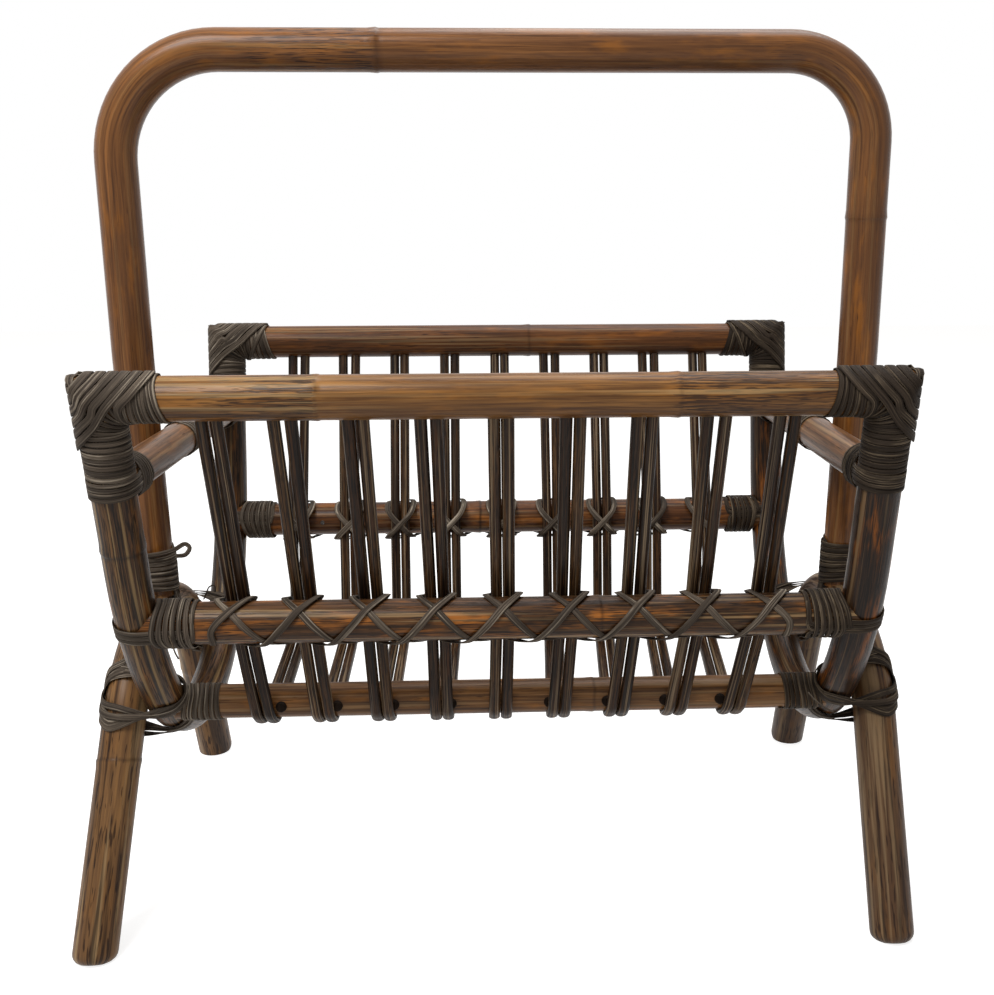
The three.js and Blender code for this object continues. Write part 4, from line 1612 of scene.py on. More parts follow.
@dataclass(frozen=True)
class Bindings:
    """Every wrap, tie, lashing and lacing of the basket."""

    plan: Plan
    width: float = 0.0033
    lacing_width: float = 0.0042
    lashing_width: float = 0.0044
    thickness: float = 0.0008
    spacing: float = 0.00005
    seat: float = 0.0003
    corner_lift: float = 0.0004
    eighths: int = 8
    tie_turns: int = 4
    tie_start: float = -0.0065
    lashing_turns: int = 3
    lashing_stand: float = 0.0142
    lashing_pitch: float = 0.0033
    lashing_lift: float = 0.0005
    lashing_slope: float = 0.0006
    lashing_steps: tuple[float, ...] = (-1.6, -0.8, 0.0, 0.8, 1.6)
    leg_pull: float = 0.0085
    leg_pull_change: float = -0.0035
    frame_pull: float = 0.008
    notch_pitch: float = 0.001
    notch_gap: float = 0.0004
    lower_notch_gap: float = -0.0026
    cross_turns: int = 2
    cross_rise: float = 0.004
    cross_pitch: float = 0.0042
    cross_lifts: tuple[float, float] = (0.0006, 0.0014)
    cross_rings: tuple[float, float] = (-0.0122, 0.0108)
    cross_ring_pitch: float = 0.0028
    lace_side: float = 0.0098
    lace_lean: float = 0.0085
    lace_rise: float = 0.0072
    lace_draw: float = 0.72
    lace_gap: float = 0.0005

    @property
    def pitch(self) -> float:
        """From one turn to the next."""
        return self.width + self.spacing

    def radius(self, pole: float, layer: int = 0) -> float:
        """How far a strip's underside is from a pole's axis."""
        return pole + self.seat + layer * (self.thickness + self.seat)

    def corner_spots(self) -> list[Spot]:
        """A corner's binding in the corner's own frame.

        Returns:
            The spots.
        """
        inner = self.radius(self.plan.frame_radius)
        outer = self.radius(self.plan.frame_radius, 1) + self.corner_lift
        return CornerWrap(inner, outer, self.pitch, self.thickness).spots()

    def butt_spots(self, joint: ButtJoint) -> list[Spot]:
        """The binding of a rail that butts on a post.

        Args:
            joint: the rail's end and its post.

        Returns:
            The spots: strands round the post's far side, then turns round the rail over them.
        """
        up = square(joint.post, joint.into)
        side = joint.into.cross(up)
        back = -square(joint.into, joint.post)
        layer = 1 if joint.strands else 0
        pitch = joint.width + self.spacing
        lean = abs(math.tan(joint.post.angle(up)))
        start = joint.post_radius - joint.sink + joint.width / 2
        start += lean * self.radius(joint.rail_radius, layer)
        far = start + joint.turns * pitch
        near = start + pitch * joint.strand_end
        ring = self.radius(joint.rail_radius)
        reach = self.radius(joint.post_radius) + joint.strand_lift
        spots = []

        def on_rail(radius: float, angle: float, distance: float) -> Spot:
            """A spot round the rail, from its side towards the post's top."""
            return on_pole(joint.origin, joint.into, up, side, radius, angle, distance, joint.width)

        def lane_end(lane: float, sign: int, distance: float) -> Spot:
            """A spot of a strand beside the rail."""
            return on_rail(ring, sign * math.acos(lane / ring), distance)

        for strand in range(joint.strands):
            lane = ((joint.strands - 1) / 2 - strand) * pitch
            final = strand + 1 == joint.strands
            spots.append(lane_end(lane, 1, far - pitch if strand == 0 else far))
            spots.append(lane_end(lane, 1, near))
            for step in range(5):
                angle = math.pi * step / 4
                spots.append(
                    on_pole(joint.origin, joint.post, side, back, reach, angle, lane, joint.width)
                )
            spots.append(lane_end(lane, -1, near))
            spots.append(lane_end(lane, -1, far - pitch / 2 if final else far))
            if not final:
                spots += [on_rail(ring, step * EIGHTH, far + pitch / 4) for step in (-1, 0, 1, 2)]
        radius = self.radius(joint.rail_radius, layer)
        for step in range(layer, joint.turns * self.eighths + 1):
            share = step / self.eighths / joint.turns
            angle = (-2 - step) * EIGHTH
            beside = math.sin(angle) ** 2
            distance = far - share * joint.turns * pitch - joint.saddle * beside * share
            spots.append(on_rail(radius, angle, distance))
        return spots

    def joints(self) -> list[tuple[str, ButtJoint]]:
        """Every butt joint.

        Returns:
            The joints with their CAD nodes' names.
        """
        plan = self.plan
        found = []
        for end in End:
            x = end.value * plan.end_offset
            into = ACROSS * -end.value
            for face in Face:
                mid = (plan.mid_spread, plan.mid_height, into, plan.mid_radius)
                low = (plan.bottom_spread, plan.bottom_height, into, plan.bottom_radius)
                cross = (plan.cross_spread, plan.cross_height, BACK * -face.value)
                for word, (spread, height, way, radius), turns, strands, width in (
                    ("mid", mid, 6, 3, 0.0032),
                    ("bottom", low, 7, 0, 0.003),
                    ("cross", (*cross, plan.cross_radius), 6, 4, 0.0027),
                ):
                    at = Vector((x, face.value * spread, height))
                    post = plan.bow_up(height, face)
                    post_radius = plan.frame_radius
                    joint = ButtJoint(at, way, post, radius, post_radius, turns, strands, width)
                    found.append((f"{face.word}_{end.word}_{word}_wrap", joint))
            foot = plan.hoop_foot(end)
            up = (plan.hoop_knee(end) - foot).normalized()
            joint = ButtJoint(foot, up, BACK, plan.handle_radius, plan.leg_radius, 8, 3)
            found.append((f"{end.word}_handle_wrap", joint))
        return found

    def tie_spots(self, end: End) -> list[Spot]:
        """A tie round a cross rail, beside the upright of the hoop that passes it.

        Args:
            end: the cross rail's end of the basket.

        Returns:
            The spots.
        """
        origin = Vector((end.value * self.plan.end_offset, 0, self.plan.cross_height))
        radius = self.radius(self.plan.cross_radius)
        spots = []
        for step in range(self.tie_turns * self.eighths + 1):
            along = step / self.eighths * self.pitch + self.tie_start
            spots.append(on_pole(origin, BACK, UP, ACROSS, radius, step * EIGHTH, along))
        return spots

    def bow_place(self, end: End, face: Face, distance: float) -> tuple[Vector, Vector]:
        """A place of an end frame's axis, at a distance up from the crossing.

        Args:
            end: which end frame.
            face: which of its crossings.
            distance: how far up the end frame from there.

        Returns:
            The point and the upward direction.
        """
        plan = self.plan
        bow = plan.bow_radius * plan.bow_sweep
        crossing = plan.bow_angle(plan.crossing[1])
        along = plan.bow_radius * (crossing + math.pi / 2) + distance
        if along > bow:
            angle = plan.bow_end + (along - bow) / plan.flank_radius
        else:
            angle = along / plan.bow_radius - math.pi / 2
        spread, height = plan.bow_spot(angle)
        at = Vector((end.value * plan.end_offset, face.value * spread, height))
        return at, Vector((0, -face.value * math.sin(angle), math.cos(angle)))

    def leg_place(self, end: End, face: Face, distance: float) -> tuple[Vector, Vector]:
        """A place of a leg's axis, at a distance up from the crossing.

        Args:
            end: which leg frame.
            face: which of its legs.
            distance: how far up the leg from there.

        Returns:
            The point and the upward direction.
        """
        place = self.plan.crossing_distance - distance
        at = self.plan.leg_point(end, face, place)
        below = self.plan.leg_point(end, face, place + 0.0003)
        return at, (at - below).normalized()

    def lashing_spots(self, end: End, face: Face) -> list[Spot]:
        """The lashing of a leg to the end frame it crosses, in a square of turns.

        Args:
            end: which end frame.
            face: which of its crossings.

        Returns:
            The spots.
        """
        plan = self.plan
        outward = ACROSS * end.value
        spots = []
        up_bow = self.bow_place(end, face, 0)[1]
        up_leg = self.leg_place(end, face, 0)[1]
        middle = (self.bow_place(end, face, 0)[0] + self.leg_place(end, face, 0)[0]) / 2

        def notch(leg_way: int, bow_way: int, turn: int) -> None:
            """Passes through a corner between the two poles.

            Args:
                leg_way: 1 up the leg from the crossing, -1 down.
                bow_way: 1 up the end frame from the crossing, -1 down.
                turn: the turn's number.
            """
            lower = leg_way + bow_way < 0
            gap = self.notch_pitch * turn + (self.lower_notch_gap if lower else self.notch_gap)
            aside = up_leg * (leg_way * (plan.frame_radius + gap))
            aside += up_bow * (bow_way * (plan.leg_radius + gap))
            spots.append(Spot(middle + aside, aside.normalized()))

        def half(
            place: tuple[Vector, Vector], out: Vector, towards: Vector, radius: float, pull: float
        ) -> None:
            """Goes half round a pole.

            Args:
                place: a point of the pole's axis, and its direction.
                out: the side of the pole that is passed.
                towards: the side that is reached.
                radius: the pole's radius.
                pull: how far the strip is drawn to the crossing on the pole's outer side.
            """
            at, along = place
            u, v = square(out, along), square(towards, along)
            for eighth in self.lashing_steps:
                angle = eighth * EIGHTH
                near = math.copysign(pull, (middle - at).dot(along)) * math.cos(angle * 0.8)
                around = self.radius(radius) + self.lashing_lift
                slide = eighth * self.lashing_slope + near
                spots.append(on_pole(at, along, u, v, around, angle, slide))

        for turn in range(self.lashing_turns):
            stand = self.lashing_stand + turn * self.lashing_pitch
            for way in (1, -1):
                leg = self.leg_place(end, face, way * stand)
                bow = self.bow_place(end, face, way * stand)
                pull = self.leg_pull + self.leg_pull_change * way
                half(leg, outward, up_bow * way, plan.leg_radius, pull)
                notch(way, way, turn)
                half(bow, -outward, up_leg * -way, plan.frame_radius, self.frame_pull)
                notch(-way, way, turn)
        return spots

    def cross_spots(self, end: End, face: Face) -> list[Spot]:
        """The cross over a leg's lashing, in figures of eight.

        Args:
            end: which end frame.
            face: which of its crossings.

        Returns:
            The spots: slanting over the leg, round the end frame, back over the leg and round
            the end frame again.
        """
        plan = self.plan
        outward = ACROSS * end.value
        leg = self.leg_place(end, face, self.cross_rise)
        up_bow = self.bow_place(end, face, 0)[1]
        spots = []

        def slant(way: Vector, lift: float, aside: float) -> None:
            """Slants over the leg's outer side.

            Args:
                way: the direction in which the strip goes.
                lift: how far it lies above the turns under it.
                aside: how far it lies beside the crossing.
            """
            at, along = leg
            radius = self.radius(plan.leg_radius) + lift
            u, v = square(outward, along), square(way, along)
            lean = way.angle(along)
            for eighth in (-2, -1, 0, 1, 2):
                angle = eighth * EIGHTH
                slide = (radius * math.sin(angle) * math.cos(lean) - aside) / math.sin(lean)
                spots.append(on_pole(at, along, u, v, radius, angle, slide))

        def ring(distance: float) -> None:
            """Goes round the end frame's inner side, at a distance up from the crossing."""
            at, along = self.bow_place(end, face, distance)
            radius = self.radius(plan.frame_radius) + self.cross_lifts[1]
            u, v = square(-outward, along), square(leg[1], along)
            for eighth in (-2, -1, 0, 1, 2):
                spots.append(on_pole(at, along, u, v, radius, eighth * EIGHTH, 0.0))

        low, high = self.cross_rings
        for turn in range(self.cross_turns):
            aside = (turn - 0.5) * self.cross_pitch
            slant(-(up_bow + leg[1]), self.cross_lifts[0], aside)
            ring(low - self.cross_ring_pitch * turn)
            slant(up_bow - leg[1], self.cross_lifts[1], aside)
            ring(high + self.cross_ring_pitch * turn)
        return spots

    def cane_spread(self, height: float) -> float:
        """How far from the middle the canes' axes are near the mid rail.

        Args:
            height: a height near the mid rail.

        Returns:
            The spread there.
        """
        above = height - self.plan.mid_height
        lean = self.plan.cane_lean
        return self.plan.cane_knee + above * math.tan(lean if above > 0 else lean * 0.55)

    def lacing_spots(self, face: Face) -> list[Spot]:
        """The lacing of the canes to a mid rail, crossed at each pair.

        Args:
            face: which mid rail.

        Returns:
            The spots, along the rail and back.
        """
        plan = self.plan
        outward = BACK * face.value
        thick = self.thickness + self.seat
        side = self.lace_side
        spots = []

        def on_rail(x: float, eighth: float, layer: int) -> Spot:
            """A spot round the rail, from its upper side on."""
            origin = Vector((x, face.value * plan.mid_spread, plan.mid_height))
            radius = self.radius(plan.mid_radius, layer)
            return on_pole(origin, ACROSS, UP, outward, radius, eighth * EIGHTH, 0)

        def on_canes(x: float, up: float, behind: float, out: Vector) -> Spot:
            """A spot beside the canes, at a height above the rail and a depth behind their axes."""
            height = plan.mid_height + up
            at = Vector((x, face.value * (self.cane_spread(height) - behind), height))
            return Spot(at, out.normalized())

        def inner_side(x: float, way: int, layer: int) -> None:
            """Passes behind a pair of canes, slanting up.

            Args:
                x: the pair's middle.
                way: 1 on the way to the right, -1 on the way back.
                layer: how many strips lie under this one.
            """
            for shift, up in ((way * side, -1), (-way * side, 1)):
                rise = up * (self.lace_rise + plan.cane_radius + layer * thick)
                out = outward * -0.4 + UP * up
                beside = on_canes(x + shift, rise, -plan.cane_radius, out)
                behind = plan.cane_radius + self.lace_gap + layer * thick
                inside = on_canes(x + shift * self.lace_draw, up * self.lace_rise, behind, -outward)
                spots.extend((beside, inside) if up < 0 else (inside, beside))

        def outer_side(x: float, way: int, layer: int) -> None:
            """Slants down over the rail's outer side."""
            spots.append(on_rail(x - way * self.lace_lean, 0, layer))
            spots.append(on_rail(x, 1, layer))
            spots.append(on_rail(x + way * plan.pair_pitch / 4, 2, layer))

        def under(x: float, way: int, layer: int) -> None:
            """Goes under the rail to the next pair."""
            spots.append(on_rail(x + way * plan.pair_pitch / 2, 3, layer))
            spots.append(on_rail(x + way * (plan.pair_pitch - side), 4, layer))

        places = [
            plan.pair_offset(pair, face.value * plan.mid_spread, plan.mid_height)
            for pair in range(plan.pair_count)
        ]
        for x in places:
            inner_side(x, 1, 0)
            outer_side(x, 1, 0)
            if x != places[-1]:
                under(x, 1, 0)
        for eighth in (3, 4, 5, 6, 7):
            spots.append(on_rail(places[-1] + side, eighth, int(eighth > 4)))
        for x in reversed(places):
            if x != places[-1]:
                inner_side(x, -1, 1)
            outer_side(x, -1, 1)
            if x != places[0]:
                under(x, -1, 1)
        spots.append(on_rail(places[0] - side, 3, 1))
        return spots

    def build(self, finishes: Sequence[Material]) -> None:
        """Makes every binding.

        Args:
            finishes: the three strip materials; the second is darker, painted shade for the right
                end.
        """
        widths = {"lacing": self.lacing_width, "lashing": self.lashing_width}
        made: list[tuple[str, list[Spot]]] = []
        corner = self.corner_spots()
        for face in Face:
            for end in End:
                place = self.plan.corner(end, face)
                turn = place.to_3x3()
                flip = Vector((1, end.value * face.value, 1))
                spots = [
                    Spot(place @ (spot.at * flip), turn @ (spot.out * flip), spot.width)
                    for spot in corner
                ]
                made.append((f"{face.word}_{end.word}_corner_wrap", spots))
                lashing = self.lashing_spots(end, face)
                made.append((f"{face.word}_{end.word}_leg_lashing", lashing))
            made.append((f"{face.word}_cane_lacing", self.lacing_spots(face)))
        for end in End:
            made.append((f"{end.word}_handle_tie", self.tie_spots(end)))
        for name, joint in self.joints():
            made.append((name, self.butt_spots(joint)))
        for number, (name, spots) in enumerate(made):
            # Strips at the right end take the darker second finish: painted shade, for light that
            # falls from the left.
            finish = finishes[1 if "right" in name else number % 2 * 2]
            width = widths.get(name.split("_")[-1], self.width)
            Strip(name, spots, width, self.thickness, number=number).build(finish, name)
        for number, (end, face) in enumerate((end, face) for end in End for face in Face):
            spots = self.cross_spots(end, face)
            name = f"{face.word}_{end.word}_lashing_cross"
            # The right end's crosses take the darker second finish too: painted shade.
            finish = finishes[1 if end is End.RIGHT else number * 2]
            strip = Strip(name, spots, self.lashing_width, self.thickness, number=40 + number)
            strip.build(finish)


@dataclass(frozen=True)
class LooseEnd:
    """A short loose piece of strip, with its width and its points in millimetres."""

    name: str
    width: float
    points: tuple[tuple[float, float, float], ...]


LOOSE_ENDS = (
    LooseEnd(
        "loose_curl",
        3,
        (
            (-246, -12, 209), (-240, -14.5, 211), (-231, -15.5, 212), (-223, -15, 213),
            (-215, -13, 215), (-208, -12, 218.5), (-205, -13, 216), (-207.5, -15, 212),
            (-213, -16, 211.5),
        ),
    ),
    LooseEnd(
        "whisker_left",
        0.9,
        ((-187, -131, 199), (-185, -132, 193), (-184, -132, 189), (-182.7, -131, 185)),
    ),
    LooseEnd(
        "whisker_right",
        0.9,
        ((180, -118, 152), (183, -120, 148.7), (189.5, -121, 143.5), (195.7, -120, 139.6)),
    ),
    LooseEnd(
        "whisker_lacing",
        1.0,
        ((-202, 0, 176), (-200, 0, 180), (-197.7, 0, 184.8), (-194.2, 0, 186), (-193.9, 0, 181)),
    ),
)


@dataclass(frozen=True)
class Extras:
    """The small pieces that the drawn parts leave out: pegs, nails and loose strip ends."""

    plan: Plan
    pegs: tuple[float, ...] = (-0.1368, -0.1026, -0.0679, -0.0326, 0.028, 0.0639, 0.0998, 0.1345)
    peg_radius: float = 0.0034
    peg_stretch: float = 1.25
    peg_cut: float = 0.8
    peg_stand: float = 0.0002
    nail_radius: float = 0.0016
    nail_depth: float = 0.0012
    edge: float = 0.0004
    mid_nail: float = -0.1365
    handle_nail: float = 0.03
    end_thickness: float = 0.0006
    end_step: float = 0.0015
    first_end: int = 60

    def peg(self) -> bpy.types.Object:
        """Shapes a rounded peg that stands upright at the origin, with its tip cut off flat.

        Returns:
            The peg that the others are copied from.
        """
        deselect()
        bpy.ops.mesh.primitive_uv_sphere_add(
            segments=20, ring_count=12, radius=self.peg_radius, scale=(1, 1, self.peg_stretch)
        )
        piece = bpy.context.object
        bpy.ops.object.transform_apply(location=True, rotation=True, scale=True)
        bpy.ops.object.mode_set(mode="EDIT")
        bpy.ops.mesh.select_all(action="SELECT")
        tip = UP * self.peg_radius * self.peg_cut
        bpy.ops.mesh.bisect(plane_co=tip, plane_no=UP, use_fill=True, clear_outer=True)
        bpy.ops.object.mode_set(mode="OBJECT")
        bevel(piece, self.edge, 2)
        bpy.ops.object.shade_smooth_by_angle(angle=math.radians(60))
        return piece

    def nail(self) -> bpy.types.Object:
        """Shapes a small nail head at the origin, a disc with rounded edges.

        Returns:
            The nail that the others are copied from.
        """
        deselect()
        bpy.ops.mesh.primitive_cylinder_add(
            vertices=16, radius=self.nail_radius, depth=self.nail_depth
        )
        piece = bpy.context.object
        bevel(piece, self.edge, 3)
        bpy.ops.object.shade_smooth_by_angle(angle=math.radians(50))
        return piece

    def place(
        self, model: bpy.types.Object, finish: Material, spots: Sequence[tuple[str, Spot]]
    ) -> None:
        """Copies a small piece to its places, and removes the one at the origin.

        Args:
            model: the piece at the origin.
            finish: its material.
            spots: each copy's name, with its place and the way it faces.
        """
        for name, spot in spots:
            piece = copied(model, name)
            turn = spot.out.to_track_quat("Z", "Y").to_matrix().to_4x4()
            piece.data.transform(Matrix.Translation(spot.at) @ turn)
            grain = piece.data.attributes.new(GRAIN, "FLOAT_VECTOR", "POINT")
            for vertex, item in zip(piece.data.vertices, grain.data):
                item.vector = vertex.co
            settle(piece, finish, [])
        bpy.data.objects.remove(model)

    def loose(self, end: LooseEnd, number: int, finish: Material) -> None:
        """Adds a loose end of strip.

        Args:
            end: its shape.
            number: its number among the strips.
            finish: its material.
        """
        path = [Vector(point) / 1000 for point in end.points]
        spots = []
        for i, at in enumerate(path):
            way = path[min(i + 1, len(path) - 1)] - path[max(i - 1, 0)]
            spots.append(Spot(at, square(-BACK, way.normalized())))
        width = end.width / 1000
        strip = Strip(end.name, spots, width, self.end_thickness, self.end_step, 0.0, number)
        strip.build(finish)

    def build(self, shop: Finishes) -> None:
        """Makes every small piece.

        Args:
            shop: the finishes.
        """
        plan = self.plan
        front = -plan.bottom_spread - plan.bottom_radius + self.peg_stand
        pegs = [
            (f"peg_{number + 1}", Spot(Vector((x, front, plan.bottom_height)), -BACK))
            for number, x in enumerate(self.pegs)
        ]
        self.place(self.peg(), shop.peg, pegs)
        mid = Vector((self.mid_nail, plan.mid_spread - plan.mid_radius, plan.mid_height))
        nails = [("rear_mid_rail_nail", Spot(mid, -BACK))]
        for end in End:
            x = end.value * (plan.arch_offset + plan.handle_radius)
            at = Vector((x, 0, plan.leg_top + self.handle_nail))
            nails.append((f"{end.word}_handle_nail", Spot(at, ACROSS * end.value)))
        self.place(self.nail(), shop.nail, nails)
        for number, end in enumerate(LOOSE_ENDS):
            self.loose(end, self.first_end + number, shop.strips[number % len(shop.strips)])


HOOP_FINISH = PoleFinish(
    "varnished hoop",
    "8e5d31", "56341a", "a0621f", "26140a", "b38c5a",
    stripes=0.4,
    dashes=(
        (0.0, 0.3), (0.34, 0.15), (0.37, 0.6), (0.43, 0.85), (0.434, 0.08), (0.6, 0.12),
        (0.68, 0.3), (0.78, 0.2), (1.0, 0.35),
    ),
    # Painted light and shade along the hoop: lighter up the left side and over the left bend, where
    # the light falls, darker low on the left and down the whole right side.
    tone=(
        (0.0, 0.15), (0.2, 0.35), (0.3, 0.95), (0.43, 0.8), (0.55, 0.5), (0.7, 0.05),
        (1.0, 0.0),
    ),
    rings=HOOP_RINGS, length=1.1066, roughness=0.27, coat=0.6, seed=1.0,
)
TOP_FINISHES = {
    Face.FRONT: PoleFinish(
        "front top rail",
        "a2723d", "543419", "a86c28", "2c1c12", "b99a6c",
        stripes=0.6, warm_share=0.4,
        dashes=(
            (0.0, 0.3), (0.14, 0.45), (0.23, 1.0), (0.286, 1.0), (0.291, 0.08), (0.6, 0.12),
            (0.69, 0.3), (0.712, 0.95), (0.9, 0.75), (1.0, 0.6),
        ),
        # The tone darkens the rail's right end, from 0.72 of its length on: painted shade, for
        # light that falls from the left.
        tone=((0.0, 0.6), (0.28, 0.7), (0.32, 0.55), (0.66, 0.5), (0.72, 0.0), (1.0, 0.05)),
        rings=TOP_RINGS[Face.FRONT], length=0.4528, roughness=0.32, coat=0.5, seed=2.0,
    ),
    Face.REAR: PoleFinish(
        "rear top rail",
        "7e4e27", "452a18", "92571f", "20130b",
        warm_share=0.6,
        dashes=((0.0, 0.4), (0.3, 0.6), (0.55, 0.3), (1.0, 0.3)),
        tone=((0.0, 0.55), (0.5, 0.35), (1.0, 0.55)),
        rings=TOP_RINGS[Face.REAR], length=0.4528, seed=3.0,
    ),
}
MID_FINISHES = {
    Face.FRONT: PoleFinish(
        "front mid rail",
        "6e4a2c", "33200f", "a8662a", "1a0f08",
        stripes=0.7, warm_share=0.8,
        dashes=((0.0, 0.6), (0.4, 0.6), (0.6, 0.8), (1.0, 0.8)),
        # The tone darkens the rail's right half: painted shade, for light that falls from the left.
        tone=((0.0, 0.75), (0.45, 0.55), (0.55, 0.1), (1.0, 0.05)),
        rings=LOWER_RINGS[Face.FRONT], length=0.412, seed=4.0,
    ),
    Face.REAR: PoleFinish(
        "rear mid rail",
        "80502a", "372014", "b06a2a", "1a0f09",
        warm_share=0.6, rings=LOWER_RINGS[Face.REAR], length=0.412, seed=5.0,
    ),
}
CROSS_FINISH = PoleFinish(
    "cross rails",
    "906745", "4f3624", "9b6434", "271910",
    rings=CROSS_RINGS, length=0.27, seed=6.0,
)
BOTTOM_FINISH = PoleFinish(
    "bottom rails",
    "95693f", "573a22", "a86a2a", "261810",
    rings=LOWER_RINGS[Face.FRONT], length=0.412, seed=7.0,
)
FRAME_FINISHES = {
    end: PoleFinish(
        f"{end.word} end frame",
        base, deep, warm, "0d0704", pale,
        stripes=0.85, warm_share=0.7,
        dashes=((0.0, 0.85), (0.5, 0.7), (1.0, 0.85)),
        tone=((0.0, 0.45), (1.0, 0.45)),
        rings=FRAME_RINGS[end], length=0.55, coat=0.4, seed=seed,
    )
    for end, base, deep, warm, pale, seed in (
        (End.LEFT, "70502f", "2c1a0f", "8a5522", "9c8058", 8.0),
        # The right end frame's darker base, deep and pale colours are painted shade, for light that
        # falls from the left.
        (End.RIGHT, "4a3018", "1c100a", "955419", "7d6448", 9.0),
    )
}
LEG_FINISHES = {
    end: PoleFinish(
        f"{end.word} leg frame",
        base, deep, "85592b", "261810", pale,
        stripes=0.8, warm_share=0.35,
        dashes=((0.0, 0.7), (0.3, 0.5), (0.5, 0.8), (0.8, 0.5), (1.0, 0.7)),
        tone=((0.0, 0.6), (0.3, 0.45), (0.42, 0.05), (0.58, 0.05), (0.7, 0.45), (1.0, 0.6)),
        rings=LEG_RINGS[end], length=0.47, roughness=0.42, coat=0.3, seed=seed,
    )
    for end, base, deep, pale, seed in (
        (End.LEFT, "90693f", "62462e", "a68a63", 10.0),
        # The right leg frame's darker colours are painted shade, for light that falls from the
        # left.
        (End.RIGHT, "5e4630", "4a3424", "8a7254", 11.0),
    )
}
CANE_FINISHES = [
    PoleFinish(
        f"dark cane {number + 1}",
        base, deep, "6a4220", "0e0805", "988267",
        stripes=0.9, stripe_scale=640.0, warm_share=0.3,
        dashes=((0.0, 0.8), (1.0, 0.8)),
        tone=((0.0, 0.55), (1.0, 0.55)),
        length=20.0, roughness=0.45,
        seed=12.0 + number,
    )
    for number, (base, deep) in enumerate(
        (("54381f", "22130b"), ("442c19", "1b0f08"), ("624527", "2a180d"))
    )
]
STRIP_FINISHES = [
    StripFinish("binding 1", "6e6154", "2b2520", "ab9e8c"),
    # Binding 2 is a darker copy for the right end's strips: painted shade, for light that falls
    # from the left.
    StripFinish("binding 2", "463b31", "1b1510", "84745f", seed=3.0),
    StripFinish("binding 3", "75685a", "312a24", "b3a694", seed=6.0),
]
# Near black: the pegs' own dark brown, darkened further as painted shade, for where they sit low in
# the trough under the rails.
SHADED_PEG_FINISH = PoleFinish(
    "pegs",
    "21170f", "140d08", "2a1b11", "0b0705", "2c2018",
    coat=0.0, roughness=0.7, seed=20.0,
)


class Finishes:
    """Every finish of the basket, made once."""

    def __init__(self) -> None:
        """Makes the materials."""
        self.hoop = HOOP_FINISH.make()
        self.top = {face: finish.make() for face, finish in TOP_FINISHES.items()}
        self.mid = {face: finish.make() for face, finish in MID_FINISHES.items()}
        self.cross = CROSS_FINISH.make()
        self.bottom = BOTTOM_FINISH.make()
        # The right end frame and right leg frame finishes are darker copies: painted shade for
        # light that falls from the left.
        self.posts = {end: finish.make() for end, finish in FRAME_FINISHES.items()}
        self.legs = {end: finish.make() for end, finish in LEG_FINISHES.items()}
        self.canes = [finish.make() for finish in CANE_FINISHES]
        # The second strip finish is the darker copy that paints shade on the right end's bindings.
        self.strips = [finish.make() for finish in STRIP_FINISHES]
        # The pegs' near-black finish is partly painted shade.
        self.peg = SHADED_PEG_FINISH.make()
        self.nail = MetalFinish("nails").make()


@dataclass(frozen=True)
class Lamp:
    """A square area lamp that faces a point."""

    name: str
    place: tuple[float, float, float]
    size: float
    power: float
    aim: tuple[float, float, float] = (0, 0, 0.3)

    def build(self) -> None:
        """Adds the lamp."""
        bpy.ops.object.light_add(type="AREA", location=self.place)
        lamp = bpy.context.object
        lamp.name = self.name
        lamp.data.size = self.size
        lamp.data.energy = self.power
        way = Vector(self.aim) - Vector(self.place)
        lamp.rotation_euler = way.to_track_quat("-Z", "Y").to_euler()


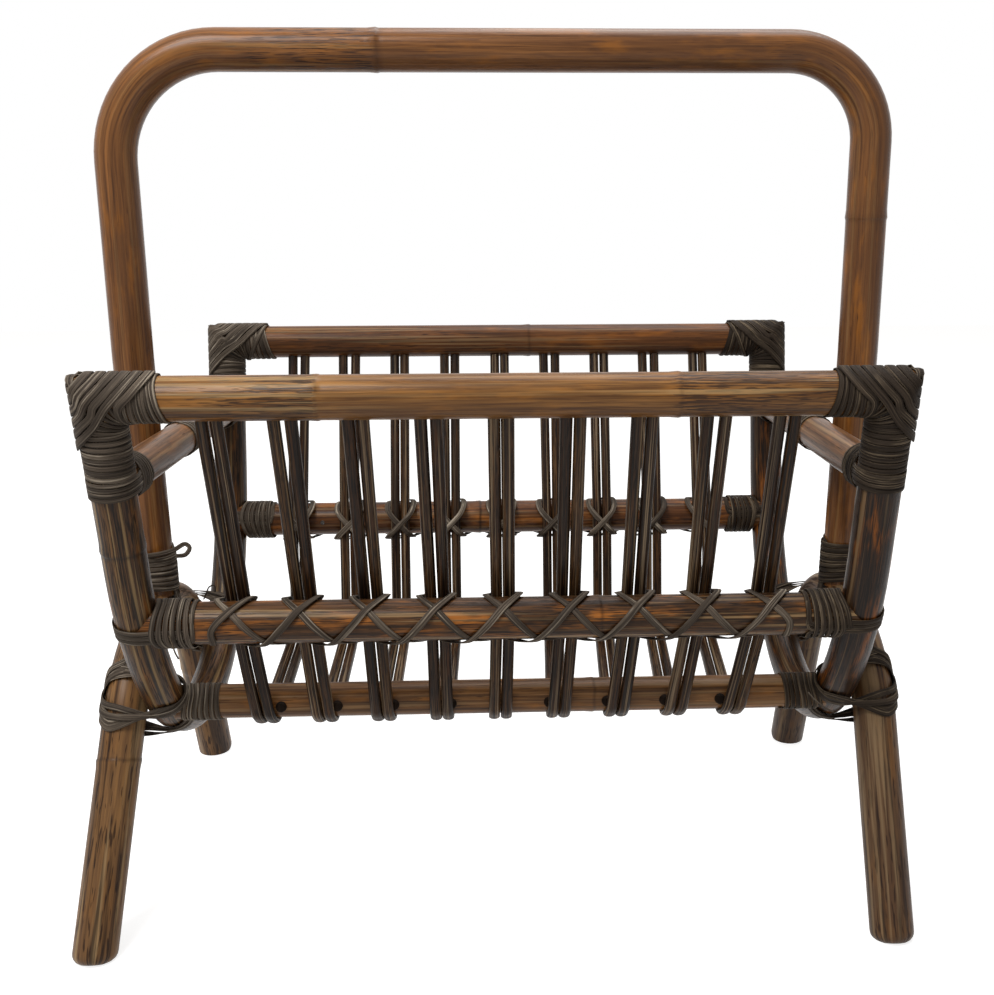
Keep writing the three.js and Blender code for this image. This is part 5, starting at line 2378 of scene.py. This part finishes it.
@dataclass(frozen=True)
class Studio:
    """The camera that matches the photo, soft light from above and in front, and a white ground."""

    focal_pixels: float = 1129.34
    frame_pixels: tuple[float, float] = (994.0, 995.0)
    middle: tuple[float, float] = (542.3, 495.07)
    place: tuple[float, float, float] = (-0.00137, -0.73483, 0.42228)
    pitch: float = math.radians(13.505)
    yaw: float = math.radians(2.278)
    roll: float = math.radians(0.162)
    sensor: float = 36.0
    nearest: float = 0.01
    floor_size: float = 8
    floor_drop: float = 0.0005
    floor_colour: tuple[float, float, float, float] = (0.55, 0.545, 0.54, 1)
    floor_glow: float = 0.8
    sky_colour: tuple[float, float, float, float] = (1.0, 0.98, 0.95, 1)
    sky_strength: float = 0.33
    white: tuple[float, float, float, float] = (1, 1, 1, 1)
    lamps: tuple[Lamp, ...] = (
        Lamp("window", (-0.75, -1.0, 1.85), 0.9, 33),
        Lamp("ceiling", (0.3, 0.5, 1.9), 1.2, 18),
    )

    def camera(self) -> None:
        """Adds the camera and makes it the scene's."""
        deselect()
        bpy.ops.object.camera_add(location=self.place)
        camera = bpy.context.object
        camera.name = "photo camera"
        camera.rotation_euler = (math.pi / 2 - self.pitch, self.roll, -self.yaw)
        width, height = self.frame_pixels
        lens = camera.data
        lens.sensor_width = self.sensor
        lens.lens = self.focal_pixels / height * self.sensor
        lens.shift_x = -(self.middle[0] - width / 2) / height
        lens.shift_y = (self.middle[1] - height / 2) / height
        lens.clip_start = self.nearest
        lens.dof.use_dof = False
        bpy.context.scene.camera = camera

    def shown(self, g: Graph) -> Value:
        """Tells the rays that show the background from those that only light.

        Args:
            g: the graph of the ground or of the world.

        Returns:
            A value that is 1 for rays which show the background, and 0 for the others.
        """
        path = g.node("LightPath").outputs
        seen = g.math("ADD", path["Is Camera Ray"], path["Is Glossy Ray"], soft=True)
        return g.math("ADD", seen, path["Is Transmission Ray"], soft=True)

    def ground(self) -> None:
        """Adds the white floor, which keeps the basket's shadow."""
        place = (0, 0, -self.floor_drop)
        bpy.ops.mesh.primitive_plane_add(size=self.floor_size, location=place)
        floor = bpy.context.object
        floor.name = "floor"
        g = Graph(bpy.data.materials.new("white ground"))
        diffuse = g.node("BsdfDiffuse", Color=self.floor_colour)
        strength = g.product(self.shown(g), self.floor_glow)
        glow = g.node("Emission", Color=self.white, Strength=strength)
        both = g.node("AddShader", i0=diffuse.outputs[0], i1=glow.outputs[0])
        g.node("OutputMaterial", Surface=both.outputs[0])
        floor.data.materials.append(g.owner)

    def surroundings(self) -> None:
        """Sets a plain, soft sky that the camera sees as white."""
        world = bpy.data.worlds.new("plain white")
        bpy.context.scene.world = world
        g = Graph(world)
        soft = g.node("Background", Color=self.sky_colour, Strength=self.sky_strength)
        white = g.node("Background", Color=self.white, Strength=1.0)
        both = g.node("MixShader", i0=self.shown(g), i1=soft.outputs[0], i2=white.outputs[0])
        g.node("OutputWorld", Surface=both.outputs[0])

    def build(self) -> None:
        """Sets up the camera, the ground, the sky and the lamps."""
        self.camera()
        self.ground()
        self.surroundings()
        for lamp in self.lamps:
            lamp.build()
        bpy.context.scene.view_settings.view_transform = "Standard"


def main() -> None:
    """Builds the basket, its light and its camera."""
    logging.basicConfig(level=logging.INFO, format="%(message)s")
    shop = Finishes()
    Poles(PLAN).build(shop)
    Canes(PLAN).build(shop.canes)
    Bindings(PLAN).build(shop.strips)
    Extras(PLAN).build(shop)
    Studio().build()
    deselect()


if __name__ == "__main__":
    main()
